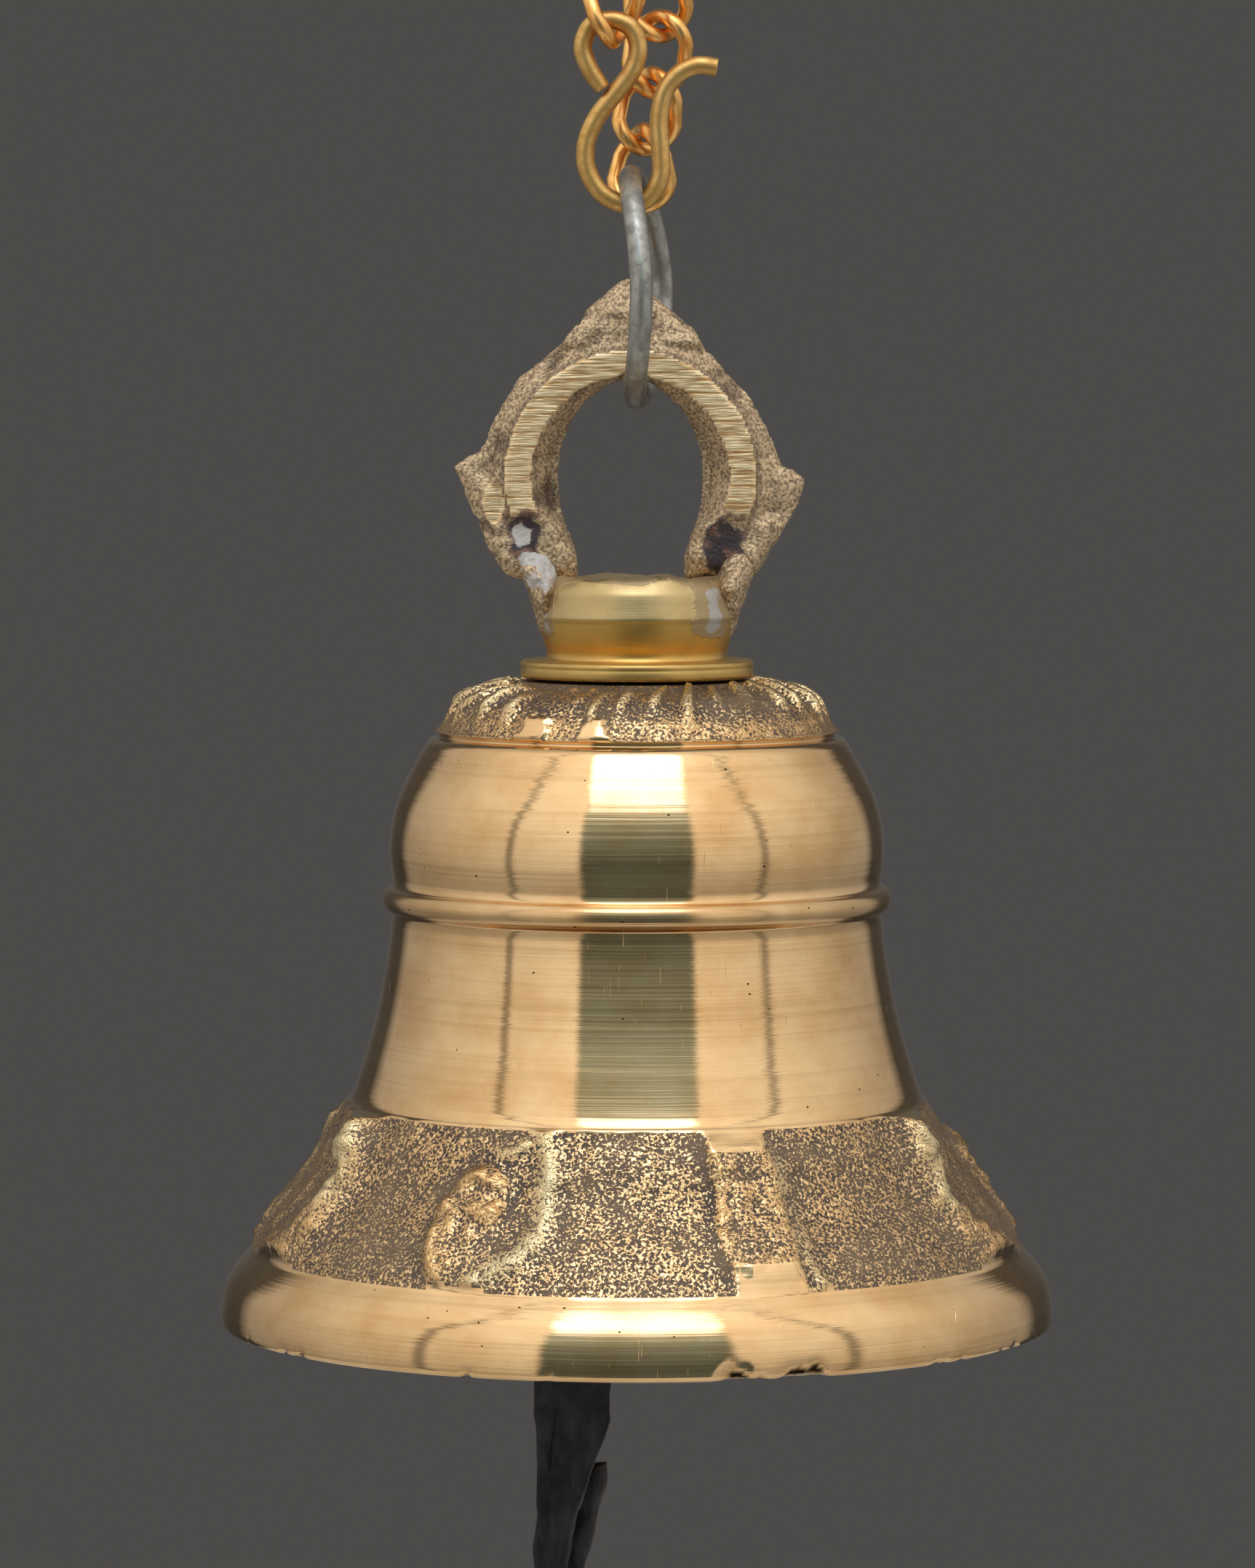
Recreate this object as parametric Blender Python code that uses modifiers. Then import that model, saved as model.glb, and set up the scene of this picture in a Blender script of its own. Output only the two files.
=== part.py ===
"""A small temple bell that hangs from a twisted chain by a wire S-hook and a steel wire ring.

Sizes are in millimetres and heights are measured from the lip's bottom edge. The function place()
moves them into the part's frame: metres, +Z up, origin at the point that the hanging link hangs by.
"""

import math

import bmesh
import bpy
from mathutils import Vector

MM = 0.001
MERGE = 0.00001
GAP = 0.3  # between neighbouring pieces

# Bell
HANGING_HEIGHT = 131.5  # from the lip up to the inside of the hanging link
MOUTH_RADIUS = 38.1
CROWN_TOP = 58.8
CROWN_INSIDE = 55.5
BEAD_HEIGHT = 38.9
BEAD_HALF_HEIGHT = 1.15
BEAD_PROUD = 0.9
WAIST_TOP_RADIUS = 22.35
BELL_STEPS = 48

# Crown boss and what holds it
STUD_RADIUS = 2.9
STUD_END = 50.2
FLANGE_RADIUS = 10.6
FLANGE_HEIGHT = 1.6
NECK_TOP = 67.8
NECK_EDGE_RADIUS = 9.2
NECK_EDGE_HEIGHT = 64.6
WASHER_RADIUS = 5.8
WASHER_THICKNESS = 1.0
NUT_RADIUS = 5.2
NUT_HEIGHT = 3.0

# Hanging loop
LOOP_DEPTH = 6.4
LOOP_CHAMFER = 1.1
LOOP_CENTRE = (-0.6, 77.4)
HOLE_HALF_WIDTH = 6.65
HOLE_TOP = 86.1
FINIAL_RADIUS = 3.0
FINIAL_WIDENING = 1.35  # the finial is wider across the loop than it is deep
FINIAL_TIP = (-0.8, 95.4)

# Ring, hook and chain
RING_WIRE = 2.05
RING_RADIUS = 10.08  # of the wire's centre line
RING_HEIGHT = 94.5
RING_BOW = 1.25
RING_TURN = 83  # degrees from +X to the ring's plane
HANGING_LINK_RADIUS = 2.65
HANGING_LINK_STRAIGHT = 6.0  # between the centres of its two round ends
HANGING_LINK_TURN = 57
HOOK_WIRE = 1.6
HOOK_Y = -2.4
CHAIN_WIRE = 1.4
LINK_HALF_WIDTH = 2.55  # of the wire's centre line
LINK_LENGTH = 6.9
LINK_TWIST = math.radians(45)
STRAND_Y = 2.2

# Clapper
EYE_WIRE = 1.4
EYE_RADIUS = 2.3
EYE_CENTRE = (-1.6, 46.6)
ROD_WIRE = 1.4
ROD_HOOK_RADIUS = 1.9
BALL_RADIUS = 5.5
BALL_HEIGHT = 8.0
STRAP_WIDTH = 6.8
STRAP_THICKNESS = 1.6


def place(x, y, height):
    """A point in the part's frame, in metres."""
    return Vector((x, y, height - HANGING_HEIGHT)) * MM


def clear_scene():
    for obj in list(bpy.data.objects):
        bpy.data.objects.remove(obj, do_unlink=True)


def make_collection(name):
    collection = bpy.data.collections.new(name)
    bpy.context.scene.collection.children.link(collection)
    return collection


def make_material(name, colour, metallic, roughness):
    material = bpy.data.materials.new(name)
    material.use_nodes = True
    shader = material.node_tree.nodes["Principled BSDF"]
    shader.inputs["Base Color"].default_value = (*colour, 1.0)
    shader.inputs["Metallic"].default_value = metallic
    shader.inputs["Roughness"].default_value = roughness
    material.diffuse_color = (*colour, 1.0)
    return material


def finish_mesh(mesh, material, sharp_degrees=35):
    mesh.materials.clear()
    mesh.materials.append(material)
    mesh.shade_smooth()
    mesh.set_sharp_from_angle(angle=math.radians(sharp_degrees))


def smooth(points, samples, closed=False):
    """Points along a Catmull-Rom curve through the given ones, with samples to each span."""
    given = [Vector(p) for p in points]
    if closed:
        ring = [given[-1], *given, given[0], given[1]]
    else:
        ring = [2 * given[0] - given[1], *given, 2 * given[-1] - given[-2]]
    found = []
    for a, b, c, d in zip(ring, ring[1:], ring[2:], ring[3:]):
        for k in range(samples):
            t = k / samples
            found.append(
                0.5 * (2 * b + (c - a) * t + (2 * a - 5 * b + 4 * c - d) * t**2
                       + (3 * b - a - 3 * c + d) * t**3)
            )
    return found if closed else [*found, given[-1]]


def arc(centre, radius, start, end, count, squash=1.0):
    """Points on an arc, from start to end degrees; squash scales its second coordinate."""
    angles = [math.radians(start + (end - start) * k / (count - 1)) for k in range(count)]
    return [
        Vector((centre[0] + radius * math.cos(a), centre[1] + radius * squash * math.sin(a)))
        for a in angles
    ]


def turned(name, outline, material, collection, steps=32, centre_x=0.0, closed=False):
    """A solid of revolution about a vertical axis, from (radius, height) points."""
    mesh = bpy.data.meshes.new(name)
    points = [(p[0] * MM, 0.0, (p[1] - HANGING_HEIGHT) * MM) for p in outline]
    edges = [(k, k + 1) for k in range(len(points) - 1)]
    if closed:
        edges.append((len(points) - 1, 0))
    mesh.from_pydata(points, edges, [])
    obj = bpy.data.objects.new(name, mesh)
    collection.objects.link(obj)
    obj.location.x = centre_x * MM
    screw = obj.modifiers.new("Screw", "SCREW")
    screw.angle = 2 * math.pi
    screw.steps = steps
    screw.render_steps = steps
    screw.use_merge_vertices = True
    screw.merge_threshold = MERGE
    screw.use_smooth_shade = True
    mesh.materials.append(material)
    return obj


def wire(name, points, diameter, material, collection, cyclic=False):
    """A round wire along a list of points that are already in the part's frame."""
    curve = bpy.data.curves.new(name, "CURVE")
    curve.dimensions = "3D"
    curve.bevel_depth = diameter / 2 * MM
    curve.bevel_resolution = 2
    curve.use_fill_caps = not cyclic
    spline = curve.splines.new("POLY")
    spline.points.add(len(points) - 1)
    for spot, p in zip(spline.points, points):
        spot.co = (*p, 1.0)
    spline.use_cyclic_u = cyclic
    spline.use_smooth = True
    curve.materials.append(material)
    obj = bpy.data.objects.new(name, curve)
    collection.objects.link(obj)
    return obj


def curve_to_mesh(obj, material, collection):
    """Turn a curve object into a welded mesh object of the same name."""
    name = obj.name
    bpy.context.view_layer.update()
    evaluated = obj.evaluated_get(bpy.context.evaluated_depsgraph_get())
    mesh = bpy.data.meshes.new_from_object(evaluated)
    matrix = obj.matrix_world.copy()
    bpy.data.objects.remove(obj, do_unlink=True)
    work = bmesh.new()
    work.from_mesh(mesh)
    bmesh.ops.remove_doubles(work, verts=work.verts, dist=MERGE)
    bmesh.ops.recalc_face_normals(work, faces=work.faces)
    work.to_mesh(mesh)
    work.free()
    solid = bpy.data.objects.new(name, mesh)
    solid.matrix_world = matrix
    collection.objects.link(solid)
    finish_mesh(mesh, material)
    return solid


def hide_cutter(obj):
    obj.hide_render = True
    obj.display_type = "WIRE"


def combine(obj, cutter, operation):
    boolean = obj.modifiers.new(operation.title(), "BOOLEAN")
    boolean.operation = operation
    boolean.solver = "EXACT"
    boolean.object = cutter


def make_pivot(name, x, y, height, collection):
    """An empty on a joint's axis, which that joint's pieces are parented to."""
    pivot = bpy.data.objects.new(name, None)
    pivot.empty_display_size = 0.004
    pivot.location = place(x, y, height)
    collection.objects.link(pivot)
    return pivot


def attach(pieces, pivot):
    """Parent pieces to a pivot and leave them where they are."""
    bpy.context.view_layer.update()
    for piece in pieces:
        piece.parent = pivot
        piece.matrix_parent_inverse = pivot.matrix_world.inverted()


def bell_body(parts, bronze):
    """The cast bell: one turned wall with a hole in its crown for the boss's stud."""
    hole = STUD_RADIUS + GAP
    shoulder = smooth([(hole, CROWN_TOP), (11.5, 58.75), (15.2, 58.1), (17.4, 56.2), (18.7, 54.3)], 3)
    groove = [(18.3, 54.1), (18.3, 53.6)]
    dome = smooth([(19.0, 53.45), (20.7, 50.4), (22.0, 47.4), (22.55, 43.9), (22.2, 40.2)], 2)
    bead = arc((WAIST_TOP_RADIUS, BEAD_HEIGHT), BEAD_PROUD, 80, -80, 5, BEAD_HALF_HEIGHT / BEAD_PROUD)
    waist = smooth([(22.4, 37.4), (22.9, 33.0), (23.7, 29.0), (24.7, 25.0), (25.7, 21.9), (26.15, 20.75)], 2)
    rough_band = smooth([(26.6, 20.4), (28.2, 17.4), (30.2, 13.6), (32.5, 10.8), (35.1, 7.3)], 2)
    lip = smooth([(35.4, 6.9), (36.8, 5.4), (37.8, 3.8), (MOUTH_RADIUS, 2.0), (38.0, 0.3)], 2)
    edge = [(37.6, 0.0), (34.9, 0.0)]
    inside = smooth(
        [(34.4, 0.7), (33.4, 4.5), (31.4, 8.0), (29.0, 11.5), (25.9, 15.5), (24.1, 20.0), (22.0, 26.0),
         (20.2, 34.0), (19.5, 43.0), (18.8, 47.8), (17.0, 51.2), (13.4, 54.2), (8.0, 55.4),
         (hole, CROWN_INSIDE)], 1)
    outline = [*shoulder, *groove, *dome, *bead, *waist, *rough_band, *lip, *edge, *inside]
    return turned("bell_body", outline, bronze, parts, BELL_STEPS, closed=True)


def crown_boss(parts, brass):
    """The flange, the neck and the stud that goes through the crown, turned in one piece."""
    flange_low = CROWN_TOP + GAP
    flange_top = flange_low + FLANGE_HEIGHT
    outline = [
        (0.0, NECK_TOP), (8.0, NECK_TOP), (8.7, 67.0), (NECK_EDGE_RADIUS, NECK_EDGE_HEIGHT),
        (8.2, flange_top + 0.6), (8.4, flange_top), (10.3, flange_top),
        (FLANGE_RADIUS, flange_top - 0.35), (10.15, flange_top - 0.8), (FLANGE_RADIUS, flange_low + 0.35),
        (10.4, flange_low), (STUD_RADIUS, flange_low), (STUD_RADIUS, STUD_END),
        (1.1, STUD_END), (1.1, 54.0), (0.0, 54.0),
    ]
    return turned("crown_boss", outline, brass, parts)


def crown_fixings(parts, cutters, steel):
    """The washer and the hexagon nut on the stud, inside the crown."""
    bore = STUD_RADIUS + GAP
    top = CROWN_INSIDE - GAP
    low = top - WASHER_THICKNESS
    washer = turned(
        "crown_washer",
        [(bore, top), (WASHER_RADIUS, top), (WASHER_RADIUS, low), (bore, low)],
        steel, parts, closed=True,
    )
    middle = low - GAP - NUT_HEIGHT / 2
    bpy.ops.mesh.primitive_cylinder_add(
        vertices=6, radius=NUT_RADIUS * MM, depth=NUT_HEIGHT * MM, location=place(0, 0, middle)
    )
    nut = adopt(bpy.context.object, "crown_nut", parts, steel)
    bpy.ops.mesh.primitive_cylinder_add(
        vertices=32, radius=bore * MM, depth=2 * NUT_HEIGHT * MM, location=place(0, 0, middle)
    )
    drill = adopt(bpy.context.object, "nut_drill", cutters, steel)
    hide_cutter(drill)
    combine(nut, drill, "DIFFERENCE")
    return [washer, nut]


def adopt(obj, name, collection, material):
    """Name an object that an operator made, and move it to a collection."""
    obj.name = name
    obj.data.name = name
    for old in list(obj.users_collection):
        old.objects.unlink(obj)
    collection.objects.link(obj)
    finish_mesh(obj.data, material)
    return obj


def hanging_loop(parts, cutters, bronze):
    """The cast omega loop with a leaf ear on each side and a pointed finial on top."""
    foot = NECK_TOP + GAP
    right = [
        (4.5, foot), (10.6, foot),
        *smooth([(10.9, 68.4), (12.2, 71.0), (13.8, 73.4), (14.9, 75.6), (15.1, 77.0)], 2),
        *smooth([(12.7, 78.3), (12.1, 80.6), (10.9, 83.2), (8.8, 86.2), (5.9, 89.0)], 2),
        (5.5, 90.4), (3.6, 92.0),
    ]
    left = [
        (-4.6, 92.0), (-6.2, 90.4),
        *smooth([(-7.4, 88.9), (-10.5, 86.2), (-12.6, 83.2), (-13.4, 80.8), (-14.1, 79.6)], 2),
        *smooth([(-16.6, 78.3), (-15.8, 76.4), (-14.9, 74.2), (-13.6, 71.0), (-11.9, 68.4)], 2),
        (-11.2, foot), (-5.5, foot),
    ]
    cx, cz = LOOP_CENTRE
    hole = [
        Vector((-5.5, foot)),
        *smooth([(-5.6, 70.2), (-6.9, 74.0), (cx - HOLE_HALF_WIDTH, cz)], 2),
        *arc((cx, cz), HOLE_HALF_WIDTH, 166, 14, 11, (HOLE_TOP - cz) / HOLE_HALF_WIDTH),
        *smooth([(cx + HOLE_HALF_WIDTH, cz), (5.7, 74.0), (4.6, 70.2), (4.5, foot)], 2),
    ]
    outline = [*right, *left[:-1], *hole[:-1]]
    curve = bpy.data.curves.new("hanging_loop", "CURVE")
    curve.dimensions = "2D"
    curve.fill_mode = "BOTH"
    curve.extrude = (LOOP_DEPTH / 2 - LOOP_CHAMFER) * MM
    curve.bevel_depth = LOOP_CHAMFER * MM
    curve.bevel_resolution = 0
    curve.offset = -LOOP_CHAMFER * MM
    spline = curve.splines.new("POLY")
    spline.points.add(len(outline) - 1)
    for spot, p in zip(spline.points, outline):
        spot.co = (p[0] * MM, (p[1] - HANGING_HEIGHT) * MM, 0.0, 1.0)
    spline.use_cyclic_u = True
    flat = bpy.data.objects.new("hanging_loop", curve)
    flat.rotation_euler.x = math.pi / 2
    parts.objects.link(flat)
    loop = curve_to_mesh(flat, bronze, parts)

    tip_x, tip_z = FINIAL_TIP
    finial = turned(
        "finial_tool",
        [(0.0, tip_z), (0.5, tip_z - 0.25), (FINIAL_RADIUS, 92.3), (FINIAL_RADIUS, 89.0), (0.0, 89.0)],
        bronze, cutters, steps=16, centre_x=tip_x,
    )
    finial.scale.x = FINIAL_WIDENING
    hide_cutter(finial)
    combine(loop, finial, "UNION")
    return loop


def braze_fillets(parts, cutters, braze):
    """The lumps of braze that hold the loop's feet to the sides of the neck."""
    cutter = turned(
        "fillet_tool",
        [(0.0, 75.0), (20.0, 75.0), (20.0, NECK_TOP), (8.9, NECK_TOP),
         (NECK_EDGE_RADIUS + 1.6 * GAP, NECK_EDGE_HEIGHT), (8.2 + 1.6 * GAP, 61.0), (0.0, 61.0)],
        braze, cutters,
    )
    hide_cutter(cutter)
    fillets = []
    for name, x, height, size in (
        ("braze_fillet_left", -9.2, 65.8, (2.0, 3.0, 2.2)),
        ("braze_fillet_right", 9.2, 65.1, (1.9, 3.0, 3.0)),
    ):
        bpy.ops.mesh.primitive_uv_sphere_add(
            segments=16, ring_count=10, radius=MM, location=place(x, 0, height), scale=size
        )
        bpy.ops.object.transform_apply(location=False, rotation=False, scale=True)
        lump = adopt(bpy.context.object, name, parts, braze)
        combine(lump, cutter, "DIFFERENCE")
        fillets.append(lump)
    return fillets


def wire_ring(name, middle, radius, turn, diameter, material, collection, straight=0.0, bow=0.0, count=48):
    """An upright ring of round wire, its plane turned by turn degrees from +X.

    straight pulls its two halves apart sideways, which makes it oblong. bow bends its front and back
    to +X by that much, while its top and bottom stay.
    """
    across = Vector((math.cos(math.radians(turn)), math.sin(math.radians(turn)), 0.0))
    points = []
    for k in range(count):
        a = 2 * math.pi * (k + 0.5) / count
        reach = radius * math.cos(a) + math.copysign(straight / 2, math.cos(a))
        points.append(place(across.x * reach + bow * math.cos(a) ** 2, across.y * reach, middle + radius * math.sin(a)))
    return wire(name, points, diameter, material, collection, cyclic=True)


def s_hook(parts, brass):
    """A bent wire: a loop above, a wider bend below, and a tail turned out to the right."""
    route = [
        (-3.1, 112.4), (-4.3, 114.2), (-4.9, 116.2), (-4.1, 118.1), (-2.4, 118.6), (-0.6, 117.9),
        (0.1, 116.0), (-0.5, 113.9), (-2.1, 111.8), (-3.7, 109.7), (-4.6, 107.4), (-4.5, 105.1),
        (-3.2, 103.0), (-1.1, 102.0), (0.9, 102.5), (2.1, 104.5), (2.1, 107.2), (2.0, 109.8),
        (2.6, 112.3), (4.0, 113.9), (5.6, 114.5), (7.2, 114.3),
    ]
    points = [place(p[0], HOOK_Y, p[1]) for p in smooth(route, 3)]
    return wire("s_hook", points, HOOK_WIRE, brass, parts)


def chain_link(name, bottom, lean, turn, parts, brass):
    """An oval of round wire, twisted so that its two ends lie at right angles.

    bottom is the wire's centre at the lowest point, lean how far the top stands to +X and +Y, and
    turn how many degrees the whole link is turned about its own length.
    """
    foot = Vector(bottom)
    rise = math.sqrt(LINK_LENGTH**2 - lean[0] ** 2 - lean[1] ** 2)
    up = Vector((lean[0], lean[1], rise)) / LINK_LENGTH
    side = Vector((1, 0, 0))
    side = (side - side.dot(up) * up).normalized()
    depth = up.cross(side)
    straight = LINK_LENGTH / 2 - LINK_HALF_WIDTH
    middle = foot + up * LINK_LENGTH / 2
    count = 24
    points = []
    for k in range(count):
        a = 2 * math.pi * (k + 0.5) / count
        along = LINK_HALF_WIDTH * math.sin(a) + math.copysign(straight, math.sin(a))
        across = LINK_HALF_WIDTH * math.cos(a)
        angle = math.radians(turn) - LINK_TWIST * along / (LINK_LENGTH / 2)
        point = middle + up * along + across * (side * math.cos(angle) + depth * math.sin(angle))
        points.append(place(*point))
    return wire(name, points, CHAIN_WIRE, brass, parts, cyclic=True)


def clapper_eye(parts, steel):
    """A bent wire eye, its shank in the stud's end, its loop a little to the left."""
    cx, cz = EYE_CENTRE
    loop = arc((cx, cz), EYE_RADIUS, 45, -220, 19)
    route = [(0.0, 53.4), (0.0, 51.6), (0.0, 49.8), (0.0, 48.9), *loop]
    points = [place(p[0], 0, p[1]) for p in route]
    return wire("clapper_eye", points, EYE_WIRE, steel, parts)


def clapper(parts, iron, brass):
    """The rod with its open hook, and the ball with a small tail that the strap is tied to."""
    cx, cz = EYE_CENTRE
    top = cz - EYE_RADIUS + EYE_WIRE / 2 + GAP + ROD_WIRE / 2
    hook = arc((0.0, top - ROD_HOOK_RADIUS), ROD_HOOK_RADIUS, -15, 255, 17)
    low = top - 2 * ROD_HOOK_RADIUS
    route = [*hook, (0.0, low - 1.2), (0.0, low - 4.0), (0.0, 25.0), (0.0, BALL_HEIGHT + 2.0)]
    rod = wire("clapper_rod", [place(cx, p[0], p[1]) for p in route], ROD_WIRE, iron, parts)

    bore = ROD_WIRE / 2 + GAP
    rim = math.degrees(math.acos(bore / BALL_RADIUS))
    ball_outline = [
        (0.0, BALL_HEIGHT + 1.6), (bore, BALL_HEIGHT + 1.6),
        *arc((0.0, BALL_HEIGHT), BALL_RADIUS, rim, -76, 12),
        (1.3, 1.6), (1.3, 0.2), (1.9, -0.3), (1.9, -1.0), (1.2, -1.6), (0.0, -1.6),
    ]
    ball = turned("clapper_ball", ball_outline, brass, parts, steps=24, centre_x=cx)
    return [rod, ball]


def pull_strap(parts, leather):
    """The leather strap: down from the clapper's tail, then folded back up behind itself."""
    route = [
        (-5.2, -3.1, 0.8), (-5.4, -3.0, -1.4), (-5.8, -2.7, -3.8), (-6.0, -2.1, -6.6), (-6.1, -1.4, -9.4),
        (-6.1, -0.8, -12.2), (-6.1, -0.4, -15.0), (-6.3, -0.1, -18.0), (-6.8, 0.0, -21.2),
        (-7.1, -0.1, -24.4), (-7.0, 0.0, -27.4), (-6.7, 0.5, -29.9), (-6.2, 1.7, -31.2),
        (-5.7, 2.9, -30.2), (-5.5, 3.3, -27.6), (-5.4, 3.3, -24.2), (-5.2, 3.2, -20.6),
        (-4.8, 3.1, -17.2), (-4.3, 3.0, -13.8),
    ]
    strap = wire("pull_strap", [place(*p) for p in route], STRAP_THICKNESS, leather, parts)
    strap.data.extrude = (STRAP_WIDTH - STRAP_THICKNESS) / 2 * MM
    return strap


def make_chain(parts, brass):
    """The two strands, from the steel ring and the S-hook up to the hanging link."""
    places = {
        "chain_b1": ((0.35, STRAND_Y, 101.95), (0.25, 0.0), -25),
        "chain_b2": ((0.6, STRAND_Y, 107.1), (0.8, 0.0), -8),
        "chain_b3": ((1.4, STRAND_Y, 112.25), (0.9, 0.0), 0),
        "chain_b4": ((2.2, STRAND_Y, 117.35), (-0.7, 0.0), -6),
        "chain_b5": ((1.5, STRAND_Y, 122.35), (0.1, 0.0), -10),
        "chain_a1": ((-2.3, HOOK_Y, 116.6), (0.3, 0.0), 35),
        "chain_a2": ((-2.0, HOOK_Y + 0.2, 121.75), (0.1, 0.0), 22),
    }
    return {
        name: chain_link(name, bottom, lean, turn, parts, brass)
        for name, (bottom, lean, turn) in places.items()
    }


def main():
    clear_scene()
    parts = make_collection("temple_bell")
    cutters = make_collection("cutters")
    bronze = make_material("bell_bronze", (0.60, 0.38, 0.14), 1.0, 0.30)
    cast_bronze = make_material("sand_cast_bronze", (0.36, 0.24, 0.12), 1.0, 0.55)
    brass = make_material("turned_brass", (0.55, 0.37, 0.10), 1.0, 0.28)
    braze = make_material("braze_and_flux", (0.42, 0.36, 0.28), 0.4, 0.7)
    steel = make_material("galvanised_steel", (0.40, 0.40, 0.40), 0.9, 0.45)
    hook_brass = make_material("satin_brass_wire", (0.50, 0.33, 0.12), 1.0, 0.38)
    chain_brass = make_material("lacquered_brass_wire", (0.62, 0.30, 0.05), 1.0, 0.22)
    iron = make_material("dark_iron", (0.08, 0.075, 0.07), 1.0, 0.55)
    leather = make_material("black_leather", (0.012, 0.011, 0.012), 0.0, 0.5)

    body = [
        bell_body(parts, bronze),
        crown_boss(parts, brass),
        *crown_fixings(parts, cutters, steel),
        hanging_loop(parts, cutters, cast_bronze),
        *braze_fillets(parts, cutters, braze),
        clapper_eye(parts, iron),
    ]
    ring = wire_ring("steel_ring", RING_HEIGHT, RING_RADIUS, RING_TURN, RING_WIRE, steel, parts, bow=RING_BOW)
    wire_ring("hanging_link", HANGING_HEIGHT + CHAIN_WIRE / 2 - HANGING_LINK_RADIUS, HANGING_LINK_RADIUS,
              HANGING_LINK_TURN, CHAIN_WIRE, chain_brass, parts, HANGING_LINK_STRAIGHT, count=24)
    hook = s_hook(parts, hook_brass)
    links = make_chain(parts, chain_brass)
    swinging = [*clapper(parts, iron, brass), pull_strap(parts, leather)]

    pivots = [
        make_pivot("upper_links_pivot", 0, 0, 127.5, parts),
        make_pivot("lower_links_pivot", 0, 0, 122.7, parts),
        make_pivot("s_hook_pivot", 0, 0, 118.0, parts),
        make_pivot("steel_ring_pivot", 0, 0, RING_HEIGHT + RING_RADIUS, parts),
        make_pivot("bell_pivot", 0, 0, RING_HEIGHT - RING_RADIUS, parts),
        make_pivot("clapper_pivot", EYE_CENTRE[0], 0, EYE_CENTRE[1], parts),
    ]
    groups = [
        [links["chain_a2"], links["chain_b5"]],
        [links["chain_a1"], links["chain_b4"]],
        [hook, links["chain_b3"], links["chain_b2"], links["chain_b1"]],
        [ring],
        body,
        swinging,
    ]
    for pivot, pieces in zip(pivots, groups):
        attach(pieces, pivot)
    for outer, inner in zip(pivots, pivots[1:]):
        attach([inner], outer)


main()
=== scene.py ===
import functools
import math

import bmesh
import bpy
import numpy as np
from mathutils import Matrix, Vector


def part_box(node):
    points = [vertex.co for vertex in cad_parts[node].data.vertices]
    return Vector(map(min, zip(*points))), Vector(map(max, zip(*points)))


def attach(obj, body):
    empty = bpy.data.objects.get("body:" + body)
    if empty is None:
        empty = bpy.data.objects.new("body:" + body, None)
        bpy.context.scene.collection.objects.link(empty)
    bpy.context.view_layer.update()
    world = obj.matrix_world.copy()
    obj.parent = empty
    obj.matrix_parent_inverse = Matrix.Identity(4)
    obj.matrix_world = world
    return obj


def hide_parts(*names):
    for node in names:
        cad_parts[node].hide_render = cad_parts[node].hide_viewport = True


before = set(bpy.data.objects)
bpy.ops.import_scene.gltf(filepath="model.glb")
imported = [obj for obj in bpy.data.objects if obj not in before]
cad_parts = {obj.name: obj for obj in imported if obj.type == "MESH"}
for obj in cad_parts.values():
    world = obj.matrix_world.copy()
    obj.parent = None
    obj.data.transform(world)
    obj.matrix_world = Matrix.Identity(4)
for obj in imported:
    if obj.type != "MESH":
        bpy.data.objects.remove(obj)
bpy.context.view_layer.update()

mm = 0.001
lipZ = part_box("bell_body")[0].z  # heights below are in mm above the lip's lower edge


def linear(hexColour):
    # sRGB hex to the linear values that Blender works in
    parts = [int(hexColour[i:i + 2], 16) / 255 for i in (1, 3, 5)]
    return tuple(c / 12.92 if c <= 0.04045 else ((c + 0.055) / 1.055) ** 2.4 for c in parts) + (1,)


def lumpNoise(points, size, seed):
    # value noise from -1 to 1: random numbers at the corners of a lattice, blended smoothly between
    q = points / size
    cell = np.floor(q).astype(np.int64)
    f = q - cell
    f = f * f * (3 - 2 * f)
    total = np.zeros(points.shape[:-1])
    for corner in np.ndindex(2, 2, 2):
        c = cell + np.array(corner)
        h = (c[..., 0] * 73856093) ^ (c[..., 1] * 19349663) ^ (c[..., 2] * 83492791) ^ (seed * 6542989)
        h = (h ^ (h >> 13)) * 1274126177 & 0xFFFFFFFF
        h = (h ^ (h >> 16)) & 0xFFFF
        weight = np.prod(np.where(np.array(corner) == 1, f, 1 - f), axis=-1)
        total += weight * (h / 32767.5 - 1)
    return total


def roughNoise(points, size, seed, octaves=3):
    # layers of value noise, each half as large and half as strong as the one before
    total = sum(lumpNoise(points, size / 2**k, seed + k) / 2**k for k in range(octaves))
    return total / (2 - 0.5 ** (octaves - 1))


def circle(count):
    # even angles round a full turn
    return np.linspace(0, 2 * math.pi, count, endpoint=False)


def spaced(share, values):
    # values that stand evenly from 0 to 1, read at share
    return np.interp(share, np.linspace(0, 1, len(values)), values)


def stand(name, data):
    # an object in the scene
    obj = bpy.data.objects.new(name, data)
    bpy.context.scene.collection.objects.link(obj)
    return obj


def ease(x, low, high):
    # 0 below low, 1 above high, smooth between
    t = np.clip((x - low) / (high - low), 0, 1)
    return t * t * (3 - 2 * t)


def through(points, spacing):
    # a Catmull-Rom curve through the points, sampled at even spacing along its length
    p = np.array(points, float)
    p = np.vstack([2 * p[0] - p[1], p, 2 * p[-1] - p[-2]])
    t = np.linspace(0, 1, 40, endpoint=False)[:, None]
    spans = [
        0.5 * (2 * b + (c - a) * t + (2 * a - 5 * b + 4 * c - d) * t**2 + (3 * b - a - 3 * c + d) * t**3)
        for a, b, c, d in zip(p, p[1:], p[2:], p[3:])
    ]
    fine = np.vstack([*spans, p[-2:-1]])
    run = np.r_[0, np.cumsum(np.linalg.norm(np.diff(fine, axis=0), axis=1))]
    count = max(2, int(round(run[-1] / spacing)) + 1)
    at = np.linspace(0, run[-1], count)
    return np.stack([np.interp(at, run, fine[:, k]) for k in range(fine.shape[1])], 1)


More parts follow.
